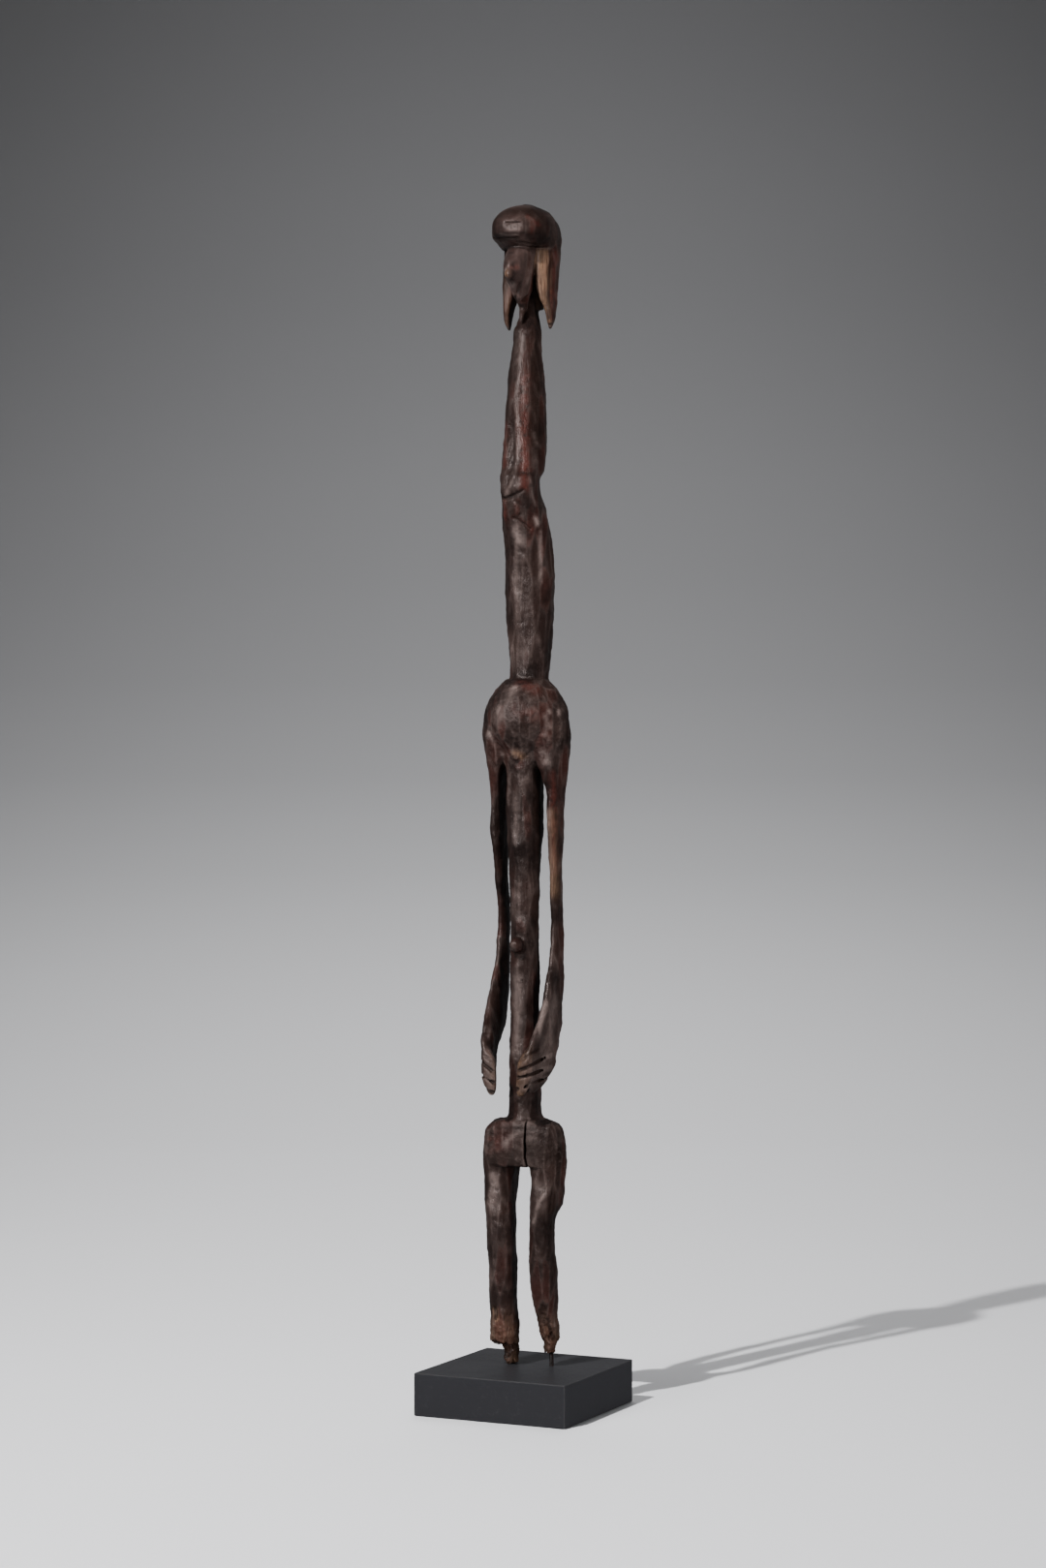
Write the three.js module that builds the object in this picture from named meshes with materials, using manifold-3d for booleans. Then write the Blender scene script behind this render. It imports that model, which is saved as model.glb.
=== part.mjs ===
// A very tall, thin standing figure carved from one branch of wood, on a square block.
// Millimetres, +Z up. The origin is the middle of the block's underside, and the figure looks along -Y.
import * as THREE from "three";
import { mergeVertices } from "three/addons/utils/BufferGeometryUtils.js";
import Module from "manifold-3d";

const wasm = await Module();
wasm.setup();

// Driving sizes of the stand
const BLOCK_SIDE = 150;
const BLOCK_HEIGHT = 39;
const BLOCK_EDGE = 1.2; // chamfer on every edge of the block
const PIN_RADIUS = 2;
const PIN_AT = [21.6, 11]; // under what is left of the figure's left foot
const TOUCH_GAP = 0.3; // kept between pieces that meet

// Driving heights of the figure, from the underside of the block
const CROWN = 1098;
const BRIM = 1071; // front edge of the cap
const FLAP_TIP = 985.8;
const NECK_FOLD = 844;
const NECK_FOOT = 664;
const SHOULDER = 614; // where the shoulders are widest
const ELBOW = 444;
const NAVEL = 424;
const FINGER_TIPS = 289;
const HIP_TOP = 265;
const CROTCH = 222.5;
const KNEE = 173;
const LEFT_STUMP = 51; // the left foot is worn away up to here
const RIGHT_STUMP = BLOCK_HEIGHT + TOUCH_GAP;

// Finger grooves: how many, the height of the first one, the step between them, how far each falls,
// and its depth. Each one starts a little further in than the one above, as the hand narrows.
const GROOVE_COUNT = 4;
const GROOVE_TOP = 335;
const GROOVE_PITCH = 10;
const GROOVE_FALL = 12;
const GROOVE_DEPTH = 2.2;
const GROOVE_INSET = 0.7;
const GROOVE_BACKSET = 0.5;

// Sides of each carved form: its adze facets
const CAP_SIDES = 22;
const FACE_SIDES = 14;
const NECK_SIDES = 20;
const TRUNK_SIDES = 18;
const ARM_SIDES = 14;
const LEG_SIDES = 16;

// A value between the rows of a table, on a monotone cubic, so no form bulges past its written sizes.
function between(heights, values, height) {
  const last = heights.length - 1;
  let row = 0;
  while (row < last - 1 && height < heights[row + 1]) row += 1;
  const rise = (k) => (values[k + 1] - values[k]) / (heights[k + 1] - heights[k]);
  const slope = (k) => {
    if (k === 0 || k === last) return rise(Math.min(k, last - 1));
    const product = rise(k - 1) * rise(k);
    return product > 0 ? (2 * product) / (rise(k - 1) + rise(k)) : 0;
  };
  const span = heights[row + 1] - heights[row];
  const t = (height - heights[row]) / span;
  return (
    values[row] * (1 + 2 * t) * (1 - t) ** 2 +
    slope(row) * span * t * (1 - t) ** 2 +
    values[row + 1] * t * t * (3 - 2 * t) +
    slope(row + 1) * span * t * t * (t - 1)
  );
}

// Turns a closed geometry into a solid that can be joined and cut.
function solidOf(geometry) {
  const bare = geometry.clone();
  bare.deleteAttribute("normal");
  bare.deleteAttribute("uv");
  const merged = mergeVertices(bare, 1e-4);
  return new wasm.Manifold(
    new wasm.Mesh({
      numProp: 3,
      vertProperties: merged.attributes.position.array,
      triVerts: new Uint32Array(merged.index.array),
    }),
  );
}

function geometryOf(solid) {
  const mesh = solid.getMesh();
  const geometry = new THREE.BufferGeometry();
  geometry.setAttribute("position", new THREE.BufferAttribute(mesh.vertProperties, 3));
  geometry.setIndex(new THREE.BufferAttribute(mesh.triVerts, 1));
  geometry.computeVertexNormals();
  return geometry;
}

// A carved form: a stack of rounded sections from the top down. Each row holds the section's height,
// its middle (x, y), half its width and depth, its squareness (2 is an oval) and its turn in degrees.
function form(rows, sides, step = 12) {
  const heights = rows.map((row) => row[0]);
  const rings = [];
  for (let k = 0; k < rows.length - 1; k += 1) {
    const parts = Math.ceil((heights[k] - heights[k + 1]) / step);
    for (let j = 0; j < parts; j += 1) {
      rings.push(heights[k] + ((heights[k + 1] - heights[k]) * j) / parts);
    }
  }
  rings.push(heights[heights.length - 1]);
  const column = (n) => rows.map((row) => row[n] ?? (n === 5 ? 2 : 0));
  const at = (n, height) => between(heights, column(n), height);

  const geometry = new THREE.CylinderGeometry(1, 1, 1, sides, rings.length - 1);
  geometry.rotateX(Math.PI / 2);
  const position = geometry.attributes.position;
  for (let v = 0; v < position.count; v += 1) {
    const ring = Math.round((0.5 - position.getZ(v)) * (rings.length - 1));
    const height = rings[ring];
    const power = 2 / at(5, height);
    const rounded = (value) => Math.sign(value) * Math.abs(value) ** power;
    const point = new THREE.Vector3(
      at(3, height) * rounded(position.getX(v)),
      at(4, height) * rounded(position.getY(v)),
      height,
    );
    point.applyAxisAngle(new THREE.Vector3(0, 0, 1), THREE.MathUtils.degToRad(at(6, height)));
    position.setXYZ(v, point.x + at(1, height), point.y + at(2, height), height);
  }
  return solidOf(geometry);
}

// An oval lump, such as the chest or the navel.
function lump([x, y, z], [wide, deep, tall], sides = 16) {
  const geometry = new THREE.SphereGeometry(1, sides, Math.round(sides / 2));
  geometry.rotateX(Math.PI / 2);
  geometry.scale(wide, deep, tall);
  geometry.translate(x, y, z);
  return solidOf(geometry);
}

// A four-sided bar on its edge between two points: it cuts a V-shaped groove.
function grooveBar(from, to, radius) {
  const start = new THREE.Vector3(...from);
  const along = new THREE.Vector3(...to).sub(start);
  const geometry = new THREE.CylinderGeometry(radius, radius, along.length(), 4);
  geometry.applyQuaternion(
    new THREE.Quaternion().setFromUnitVectors(new THREE.Vector3(0, 1, 0), along.clone().normalize()),
  );
  geometry.translate(...start.addScaledVector(along, 0.5).toArray());
  return solidOf(geometry);
}

const join = (solids) => solids.reduce((whole, next) => whole.add(next));

// Head: a domed cap with a brim over the face, two long side flaps, a plain nape, and a small face
function cap() {
  return form(
    [
      [CROWN, 0, 3, 3, 4],
      [CROWN - 2.6, 0, 3, 12.6, 18],
      [CROWN - 7.4, 0, 3.6, 20.8, 30],
      [CROWN - 17.5, 0, 3.4, 27.6, 40.4],
      [BRIM + 2, 0, 4.6, 28.8, 42],
      [BRIM - 1.5, 0, 5.6, 28.8, 41.8],
      [BRIM - 7, 0, 10, 27, 37],
      [BRIM - 13, 0, 14.4, 24.6, 32.4],
    ],
    CAP_SIDES,
    9,
  );
}

function sideFlap(side) {
  return form(
    [
      [1064, 16.2, 17, 10, 11, 3],
      [1053, 15.2, 16.4, 11, 10.4, 3.4],
      [1029, 18, 13.6, 8.1, 9.4, 3.4],
      [1016, 19.8, 12.8, 5.8, 8.2, 3],
      [1004, 21.4, 12.3, 3.7, 7, 2.6],
      [995, 21.8, 12, 2.6, 5.2, 2.3],
      [989.5, 21.4, 11.9, 1.6, 3.2, 2.1],
      [FLAP_TIP, 20.9, 11.8, 0.6, 1.2],
    ].map(([z, x, ...rest]) => [z, x * side, ...rest]),
    12,
    14,
  );
}

function nape() {
  return form(
    [
      [1062, 0, 22, 18, 22],
      [1044, 0, 20, 15, 19],
      [1026, 0, 18, 13, 14],
      [1012, 0, 17, 11.4, 10, 2.4],
      [1004, 0, 16.6, 10.6, 8.4, 2.4],
    ],
    FACE_SIDES,
    18,
  );
}

// The face is a wedge that runs forward to the nose, and falls back to the jaw and a pointed chin.
function face() {
  const wedge = form(
    [
      [1064, 0, -2, 15, 14],
      [1058, 0, -4, 13.4, 14.4],
      [1050, 0, -8, 12.8, 18.6],
      [1040, 0, -11, 11.6, 21.6],
      [1031, 0, -10.4, 11, 20.6],
      [1026, 0, -8.6, 10.2, 17],
      [1019, 0, -6, 8.6, 13],
      [1012, 0, -6, 5.6, 10.4],
      [1008.5, 0, -4, 4.6, 7],
      [1004, 0, -1.6, 3.9, 3.8],
      [997, 0, -5.4, 2.5, 2.4],
      [990.5, 0, -7, 1, 1],
    ],
    FACE_SIDES,
    10,
  );
  const nose = lump([0, -32.2, 1039], [3.8, 4.8, 8.6], 10);
  const mouth = lump([0, -25.2, 1026.4], [5.2, 4.4, 2.8], 10);
  return join([wedge, nose, mouth]);
}

// Neck: two spindles one above the other, with a fold between them that is deepest at the back
function neck() {
  return form(
    [
      [1034, 0, 11, 8, 9],
      [1003, 0, 11.4, 8, 8.6],
      [990, 0, 8.6, 11, 11.8],
      [983, 0, 6.6, 13, 13.6],
      [974, 0, 6.4, 13.1, 13.9],
      [953, 0, 5.2, 15, 15.9, 2.2],
      [931, 0, 3.8, 16.8, 17.8, 2.2],
      [889, 0, 2.4, 18.9, 20, 2.2],
      [868, 0, 0, 19.5, 20.6, 2.2],
      [857, 0, -2.4, 18.8, 19.9, 2.2],
      [NECK_FOLD + 3, 0, -8.2, 17.2, 18.2, 2.2],
      [NECK_FOLD - 4, 0, -8.2, 17.3, 18.3, 2.2],
      [826, 0, -3.4, 18.5, 19.6, 2.2],
      [804, 0, 4.2, 20.6, 21.8, 2.2],
      [783, 0, 9.6, 21.4, 22.6, 2.2],
      [755, 0, 12.6, 21.7, 23, 2.2],
      [719, 0, 13, 20.7, 21.9, 2.2],
      [698, 0, 13, 19.4, 20.6, 2.2],
      [NECK_FOOT + 6, 0, 11.4, 17.2, 18.6, 2.2],
      [NECK_FOOT - 14, 0, 9, 16.6, 17.6, 2.2],
    ],
    NECK_SIDES,
    24,
  );
}

// Shoulders: a dome that arches over the trunk. In front it swells into the chest, which ends below in a V.
function shoulders() {
  const yoke = form(
    [
      [NECK_FOOT + 1, 0, 7, 19, 18],
      [656, 0, 4.6, 29.6, 22],
      [645, 0, 4, 36.2, 27],
      [634, 0, 4, 39.8, 29],
      [624, 0, 4.2, 40.9, 28.6],
      [SHOULDER, 0, 4.8, 41.6, 26],
      [604, 0, 5, 39, 21],
      [592, 0, 3, 24, 17.6],
      [584, 0, 2, 17, 16],
    ],
    26,
    12,
  );
  const chest = lump([0, -4, 630], [31.6, 28, 33], 22);
  const chestPoint = form(
    [
      [622, 0, -4.4, 30, 24],
      [612, 0, -4.4, 25, 21],
      [604, 0, -5, 17.6, 16],
      [597, 0, -10, 8.4, 10],
      [592, 0, -14.4, 2.8, 4.6],
    ],
    20,
    10,
  );
  return join([yoke, chest, chestPoint]);
}

// Arms: flat blades that stand clear of the trunk, back at the elbow and forward at the hand. A web joins
// the top of each to the chest.
function arm(side) {
  const mirrored = (rows) => {
    return rows.map(([z, x, y, wide, deep, square, turn]) => {
      return [z, x * side, y, wide, deep, square, turn * side];
    });
  };
  const blade = form(
    mirrored([
      [628, 26, 3, 11, 18, 2.2, -6],
      [SHOULDER, 28.4, 2.6, 11.6, 20.5, 2.2, -6],
      [603, 28.8, 3.6, 10.8, 18, 2.2, -8],
      [592, 29, 5, 9.6, 17, 2.2, -8],
      [581, 29.2, 6, 8, 15.4, 2.2, -7],
      [560, 29, 6.2, 6.2, 13.8, 2.2, -4],
      [528, 28.4, 6.4, 5.3, 12.8, 2.2, 0],
      [486, 27.4, 10, 4.6, 10, 2.2, 0],
      [ELBOW, 26.9, 12.9, 4.5, 9.6, 2.2, 0],
      [412, 27.2, 11.4, 4.8, 12, 2.2, 0],
      [390, 27.5, 6.6, 5.2, 15.6, 2.2, 0],
      [369, 27.5, 1.2, 5.4, 19.6, 2.2, 0],
      [348, 27.3, -7.6, 5.4, 23.4, 2.2, -4],
      [337, 27, -13.8, 5.2, 23.4, 2.2, -8],
      [327, 26.8, -18.2, 4.8, 21.6, 2.2, -12],
      [316, 26.2, -20.4, 4.5, 19.8, 2.2, -13],
      [307, 25, -22, 4.4, 15.4, 2.2, -13],
      [298, 22.4, -24.6, 4, 10, 2.2, -14],
      [292, 20.4, -28.6, 2.6, 5, 2, -14],
    ]),
    ARM_SIDES,
    26,
  );
  const bentFingers = form(
    mirrored([
      [333, 22, -34.4, 2, 2.4, 2, 0],
      [326, 20, -36, 5, 4.2, 2.2, 0],
      [318, 18.4, -36.8, 7, 4.8, 2.2, 0],
      [307, 17.8, -37.2, 7.3, 4.9, 2.2, 0],
      [298, 16.2, -37.8, 6, 4.3, 2.2, 0],
      [292, 14.8, -38.2, 4.2, 3, 2, 0],
      [FINGER_TIPS, 14, -38.6, 2, 1.6, 2, 0],
    ]),
    12,
    12,
  );
  const web = form(
    mirrored([
      [612, 21, -6, 10, 12, 2, 0],
      [596, 21.5, -6, 7.5, 9, 2, 0],
      [585, 24, -4.5, 6, 8, 2, 0],
      [571, 26, -3, 4, 6, 2, 0],
      [562, 27.4, -1, 2.4, 4, 2, 0],
    ]),
    12,
    8,
  );
  const limb = join([blade, bentFingers, web]);
  return fingerGrooves(side).reduce((hand, bar) => hand.subtract(bar), limb);
}

// Four slanting grooves part the five fingers. Each runs along the outside of the hand, round its front,
// and in to the finger tips, falling all the way.
const GROOVE_PLAN = [
  [30.2, -12],
  [28.4, -30],
  [24, -41],
  [9.6, -40.6],
];

function fingerGrooves(side) {
  const bars = [];
  for (let n = 0; n < GROOVE_COUNT; n += 1) {
    const points = GROOVE_PLAN.map(([x, y], k) => {
      const fall = (GROOVE_FALL * k) / (GROOVE_PLAN.length - 1);
      const height = GROOVE_TOP - n * GROOVE_PITCH - fall;
      return [(x - n * GROOVE_INSET) * side, y + n * GROOVE_BACKSET, height];
    });
    for (let k = 0; k < points.length - 1; k += 1) {
      bars.push(grooveBar(points[k], points[k + 1], GROOVE_DEPTH));
    }
  }
  return bars;
}

function trunk() {
  return form(
    [
      [612, 0, 0, 15, 15],
      [580, 0, 1, 16, 15.8, 2.3],
      [528, 0, 1, 15.6, 16, 2.3],
      [507, 0, 1, 14.4, 15.4, 2.3],
      [475, 0, 1, 13, 14.2, 2.3],
      [433, 0, 1, 12.5, 13.6, 2.3],
      [412, 0, 1, 13, 14, 2.3],
      [348, 0, 1.2, 13, 14.2, 2.3],
      [306, 0, 1.6, 14, 15, 2.3],
      [284, 0, 1.8, 14.1, 15.2, 2.3],
      [270, 0, 1.8, 14.2, 15.2, 2.3],
      [HIP_TOP - 1, 0, 1.6, 17, 16.6, 2.3],
      [256, 0, 1, 18, 17, 2.3],
    ],
    TRUNK_SIDES,
    30,
  );
}

// Hips: a rounded block, split by a drying crack that runs down its front into the crotch
function hips() {
  const body = form(
    [
      [HIP_TOP, 0, 0.2, 23, 14.6, 2.6],
      [262.6, 0, 0.2, 28.6, 17.4, 2.8],
      [257.5, 0.5, 0.4, 34.2, 19, 3],
      [253, 0.2, 0.6, 36.2, 19.6, 3.2],
      [242, 0, 0.8, 38, 20.2, 3.2],
      [231, 0, 0.6, 38.6, 20.4, 3.2],
      [CROTCH + 2, 0, 1, 38.2, 20, 3.2],
      [CROTCH, 0, 1, 37.4, 19.2, 3.2],
    ],
    24,
    12,
  );
  const crack = form(
    [
      [HIP_TOP + 2, 8.6, -20, 0.2, 6],
      [250, 8.8, -20, 0.6, 8],
      [236, 9.2, -20, 1.1, 9],
      [CROTCH - 2, 10.4, -20, 0.7, 9],
    ],
    8,
    40,
  );
  return body.subtract(crack);
}

// Legs: thighs that stand out behind, a fold behind the knee, then straight shins to what is left of the
// feet. The thighs are a pair. The right shin is the stouter one.
const LEG_ROWS = [
  [228, 23, 1.2, 15.4, 17.4, 3],
  [217, 23.6, 1.2, 14.4, 17, 3],
  [210, 23.8, 1, 13.6, 16.8, 3],
  [199, 23.5, -0.4, 13.4, 16.4, 3],
  [189, 22.8, -2.2, 13.2, 15.4, 2.8],
];

function leftLeg() {
  return form(
    [
      ...LEG_ROWS,
      [KNEE + 5, 21.1, -5.2, 11.4, 12.8, 2.7],
      [KNEE - 5, 20.6, -5.9, 11.1, 11.9, 2.6],
      [147, 20.4, -5, 11.1, 12, 2.6],
      [125, 20, -2.6, 11.5, 13, 2.8],
      [104, 20.2, 0, 10.7, 12.4, 2.6],
      [93, 20.5, 2.1, 9.3, 11.6, 2.5],
      [83, 20.8, 4.9, 8.9, 11.2, 2.4],
      [72, 21.2, 8.4, 9, 10.8, 2.4],
      [62, 22, 9.6, 7.2, 8.8, 2.3],
      [LEFT_STUMP, 21, 9.4, 4.6, 6, 2],
    ],
    LEG_SIDES,
    23,
  );
}

function rightLeg() {
  const shin = form(
    [
      ...LEG_ROWS.map(([z, x, ...rest]) => [z, -x, ...rest]),
      [KNEE + 5, -21.1, -5.2, 12.7, 14.4, 2.7],
      [KNEE - 5, -20.7, -5.9, 12.8, 13.6, 2.6],
      [147, -20.5, -5, 12.3, 13.3, 2.6],
      [125, -20.1, -2.6, 11.8, 13.4, 2.8],
      [104, -19.9, -2.2, 11.8, 13.4, 2.8],
      [72, -19.6, -1.2, 12, 13.6, 2.8],
      [62, -19.4, -0.8, 12.1, 13.6, 2.8],
      [58.5, -19, 1, 11, 12, 2.6],
    ],
    LEG_SIDES,
    23,
  );
  const heel = form(
    [
      [80, -18.6, 4, 9.2, 8, 2.4],
      [62, -17.6, 6, 8.8, 8, 2.4],
      [50, -16.4, 6.6, 7.3, 7.4, 2.3],
      [RIGHT_STUMP + 4, -15.8, 7, 6.3, 6.6, 2.2],
      [RIGHT_STUMP, -15.4, 7.2, 5, 5.2, 2.2],
    ],
    14,
    12,
  );
  return shin.add(heel);
}

function carvedFigure() {
  const navel = lump([0, -16.6, NAVEL], [6.4, 6.4, 7.4], 12);
  return join([
    neck(),
    face(),
    cap(),
    nape(),
    sideFlap(1),
    sideFlap(-1),
    shoulders(),
    trunk(),
    navel,
    hips(),
    arm(1),
    arm(-1),
    leftLeg(),
    rightLeg(),
  ]);
}

// The block: black painted wood with a small chamfer on every edge
function blockGeometry() {
  const half = BLOCK_SIDE / 2 - BLOCK_EDGE;
  const outline = new THREE.Shape();
  outline.moveTo(-half, -half);
  outline.lineTo(half, -half);
  outline.lineTo(half, half);
  outline.lineTo(-half, half);
  outline.closePath();
  const geometry = new THREE.ExtrudeGeometry(outline, {
    depth: BLOCK_HEIGHT - 2 * BLOCK_EDGE,
    bevelEnabled: true,
    bevelThickness: BLOCK_EDGE,
    bevelSize: BLOCK_EDGE,
    bevelSegments: 1,
    steps: 1,
  });
  geometry.translate(0, 0, BLOCK_EDGE);
  return geometry;
}

function pinGeometry() {
  const low = BLOCK_HEIGHT + TOUCH_GAP;
  const high = LEFT_STUMP - TOUCH_GAP;
  const geometry = new THREE.CylinderGeometry(PIN_RADIUS, PIN_RADIUS, high - low, 16);
  geometry.rotateX(Math.PI / 2);
  geometry.translate(PIN_AT[0], PIN_AT[1], (low + high) / 2);
  return geometry;
}

const darkWood = new THREE.MeshStandardMaterial({ color: 0x3a2a26, roughness: 0.45, metalness: 0 });
const blackPaint = new THREE.MeshStandardMaterial({ color: 0x222224, roughness: 0.55, metalness: 0 });
const darkSteel = new THREE.MeshStandardMaterial({ color: 0x1c1a19, roughness: 0.4, metalness: 0.8 });

function named(name, geometry, material) {
  const mesh = new THREE.Mesh(geometry, material);
  mesh.name = name;
  return mesh;
}

const group = new THREE.Group();
group.add(
  named("figure", geometryOf(carvedFigure()), darkWood),
  named("plinth", blockGeometry(), blackPaint),
  named("mounting_pin", pinGeometry(), darkSteel),
);

export default group;
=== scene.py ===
# A very tall, thin standing figure carved from one branch of dark wood, on a square black block.
import itertools
import math

import bpy
import numpy as np
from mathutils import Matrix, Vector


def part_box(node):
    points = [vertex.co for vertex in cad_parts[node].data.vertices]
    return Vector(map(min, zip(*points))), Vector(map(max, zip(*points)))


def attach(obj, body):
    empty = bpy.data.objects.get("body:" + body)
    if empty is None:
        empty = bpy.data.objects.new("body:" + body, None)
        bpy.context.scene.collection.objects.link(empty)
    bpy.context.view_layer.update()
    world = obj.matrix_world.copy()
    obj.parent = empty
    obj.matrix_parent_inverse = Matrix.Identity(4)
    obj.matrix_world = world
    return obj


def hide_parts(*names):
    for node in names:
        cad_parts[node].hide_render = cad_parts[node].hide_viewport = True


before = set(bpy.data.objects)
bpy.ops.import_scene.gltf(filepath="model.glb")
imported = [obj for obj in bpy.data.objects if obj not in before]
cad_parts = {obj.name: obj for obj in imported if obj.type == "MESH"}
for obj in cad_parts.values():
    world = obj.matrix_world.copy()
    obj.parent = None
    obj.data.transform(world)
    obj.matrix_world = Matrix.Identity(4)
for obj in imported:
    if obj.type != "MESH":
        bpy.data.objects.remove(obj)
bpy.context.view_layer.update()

bl_info = {
    "name": "Carved Figure on a Block",
    "version": (1, 0, 0),
    "blender": (4, 5, 0),
    "location": "3D View > Sidebar > Carved Figure",
    "description": "Carves a tall wooden figure, its block and its pin, and sets up a plain studio",
    "category": "Add Mesh",
}

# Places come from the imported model, in metres. The carving's own tables are in millimetres.
MM = 0.001
BLOCK_LOW, BLOCK_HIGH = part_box("plinth")
PIN_LOW, PIN_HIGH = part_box("mounting_pin")

# The photograph's camera: its turn about the figure, its place, and the plane scale at the figure
CAMERA_TURN = math.radians(25.4)
CAMERA_REACH = 3.211
CAMERA_HEIGHT = 0.600
CAMERA_SHIFT = -0.021
CAMERA_LENS = 80.8
PHOTO_WIDTH = 1080
PHOTO_AXIS = 541.4
PHOTO_FOCUS = 3632
PHOTO_SCALE = 0.884
PHOTO_FOOT = 1285.6

# Driving heights of the figure in millimetres, from the underside of the block
CROWN = 1098
BRIM = 1071
FLAP_TIP = 985.8
NECK_FOLD = 844
NECK_FOOT = 664
SHOULDER = 614
ELBOW = 444
NAVEL = 424
FINGER_TIPS = 289
HIP_TOP = 265
CROTCH = 222.5
KNEE = 173
LEFT_STUMP = 51
RIGHT_STUMP = 39.3

# Tables of the carved forms, from the top down. A row holds the section's height, its middle (x, y),
# half its width and depth, its squareness (2 is an oval) and its turn in degrees.
CAP = [
    (CROWN, 0, 3, 3, 4),
    (CROWN - 2.6, 0, 3, 12.6, 18),
    (CROWN - 7.4, 0, 3.6, 20.8, 30),
    (CROWN - 17.5, 0, 3.4, 27.6, 40.4),
    (BRIM + 2, 0, 4.6, 28.8, 42),
    (BRIM - 1.5, 0, 5.6, 28.8, 41.8),
    (BRIM - 7, 0, 10, 27, 37),
    (BRIM - 13, 0, 14.4, 24.6, 32.4),
]
SIDE_FLAP = [
    (1064, 16.2, 17, 10, 11, 3),
    (1053, 15.2, 16.4, 11, 10.4, 3.4),
    (1029, 18, 13.6, 8.1, 9.4, 3.4),
    (1016, 19.8, 12.8, 5.8, 8.2, 3),
    (1004, 21.4, 12.3, 3.7, 7, 2.6),
    (995, 21.8, 12, 2.6, 5.2, 2.3),
    (989.5, 21.4, 11.9, 1.6, 3.2, 2.1),
    (FLAP_TIP, 20.9, 11.8, 0.6, 1.2),
]
NAPE = [
    (1062, 0, 22, 18, 22),
    (1044, 0, 20, 15, 19),
    (1026, 0, 18, 13, 14),
    (1012, 0, 17, 11.4, 10, 2.4),
    (1004, 0, 16.6, 10.6, 8.4, 2.4),
]
FACE = [
    (1064, 0, -2, 15, 14),
    (1058, 0, -4, 13.4, 14.4),
    (1050, 0, -8, 12.8, 18.6),
    (1042, 0, -10.8, 11.8, 20.6, 2.2),
    (1036, 0, -11, 11.6, 21.2, 2.2),
    (1031, 0, -10.4, 11, 19.6),
    (1026, 0, -8.6, 10.2, 16.6),
    (1019, 0, -6, 8.6, 13),
    (1012, 0, -6, 5.6, 10.4),
    (1008.5, 0, -4, 4.6, 7),
    (1004, 0, -1.6, 3.9, 3.8),
    (997, 0, -5.4, 2.5, 2.4),
    (990.5, 0, -7, 1, 1),
]
NECK = [
    (1034, 0, 11, 8, 9),
    (1003, 0, 11.4, 8, 8.6),
    (990, 0, 8.6, 11, 11.8),
    (983, 0, 6.6, 13, 13.6),
    (974, 0, 6.4, 13.1, 13.9),
    (953, 0, 5.2, 15, 15.9, 2.2),
    (931, 0, 3.8, 16.8, 17.8, 2.2),
    (889, 0, 2.4, 18.9, 20, 2.2),
    (868, 0, 0, 19.5, 20.6, 2.2),
    (857, 0, -2.4, 18.8, 19.9, 2.2),
    (NECK_FOLD + 3, 0, -8.2, 17.2, 18.2, 2.2),
    (NECK_FOLD - 4, 0, -8.2, 17.3, 18.3, 2.2),
    (826, 0, -3.4, 18.5, 19.6, 2.2),
    (804, 0, 4.2, 20.6, 21.8, 2.2),
    (783, 0, 9.6, 21.4, 22.6, 2.2),
    (755, 0, 12.6, 21.7, 23, 2.2),
    (719, 0, 13, 20.7, 21.9, 2.2),
    (698, 0, 13, 19.4, 20.6, 2.2),
    (NECK_FOOT + 6, 0, 11.4, 17.2, 18.6, 2.2),
    (NECK_FOOT - 14, 0, 9, 16.6, 17.6, 2.2),
]
YOKE = [
    (NECK_FOOT + 1, 0, 7, 19, 18),
    (656, 0, 4.6, 29.6, 22),
    (645, 0, 4, 36.2, 27),
    (634, 0, 4, 39.8, 29),
    (624, 0, 4.2, 40.9, 28.6),
    (SHOULDER, 0, 4.8, 41.6, 26),
    (604, 0, 5, 39, 21),
    (592, 0, 3, 24, 17.6),
    (584, 0, 2, 17, 16),
]
CHEST_POINT = [
    (622, 0, -4.4, 30, 24),
    (612, 0, -4.4, 25, 21),
    (604, 0, -5, 17.6, 16),
    (597, 0, -10, 8.4, 10),
    (592, 0, -14.4, 2.8, 4.6),
]
ARM = [
    (628, 26, 3, 11, 18, 2.2, -6),
    (SHOULDER, 28.4, 2.6, 11.6, 20.5, 2.2, -6),
    (603, 28.8, 3.6, 10.8, 18, 2.2, -8),
    (592, 29, 5, 9.6, 17, 2.2, -8),
    (581, 29.2, 6, 8, 15.4, 2.2, -7),
    (560, 29, 6.2, 6.2, 13.8, 2.2, -4),
    (528, 28.4, 6.4, 5.3, 12.8, 2.2),
    (486, 27.4, 10, 4.6, 10, 2.2),
    (ELBOW, 26.9, 12.9, 4.5, 9.6, 2.2),
    (412, 27.2, 11.4, 4.8, 12, 2.2),
    (390, 27.5, 6.6, 5.2, 15.6, 2.2),
    (369, 27.5, 1.2, 5.4, 19.6, 2.2),
    (348, 27.3, -7.6, 5.4, 23.4, 2.2, -4),
    (337, 27, -13.8, 5.2, 23.4, 2.2, -8),
    (327, 26.8, -18.2, 4.8, 21.6, 2.2, -12),
    (316, 26.2, -20.4, 4.5, 19.8, 2.2, -13),
    (307, 25, -22, 4.4, 15.4, 2.2, -13),
    (298, 22.4, -24.6, 4, 10, 2.2, -14),
    (292, 20.4, -28.6, 2.6, 5, 2, -14),
]
BENT_FINGERS = [
    (333, 22, -34.4, 2, 2.4),
    (326, 20, -36, 5, 4.2, 2.2),
    (318, 18.4, -36.8, 7, 4.8, 2.2),
    (307, 17.8, -37.2, 7.3, 4.9, 2.2),
    (298, 16.2, -37.8, 6, 4.3, 2.2),
    (292, 14.8, -38.2, 4.2, 3),
    (FINGER_TIPS, 14, -38.6, 2, 1.6),
]
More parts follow.
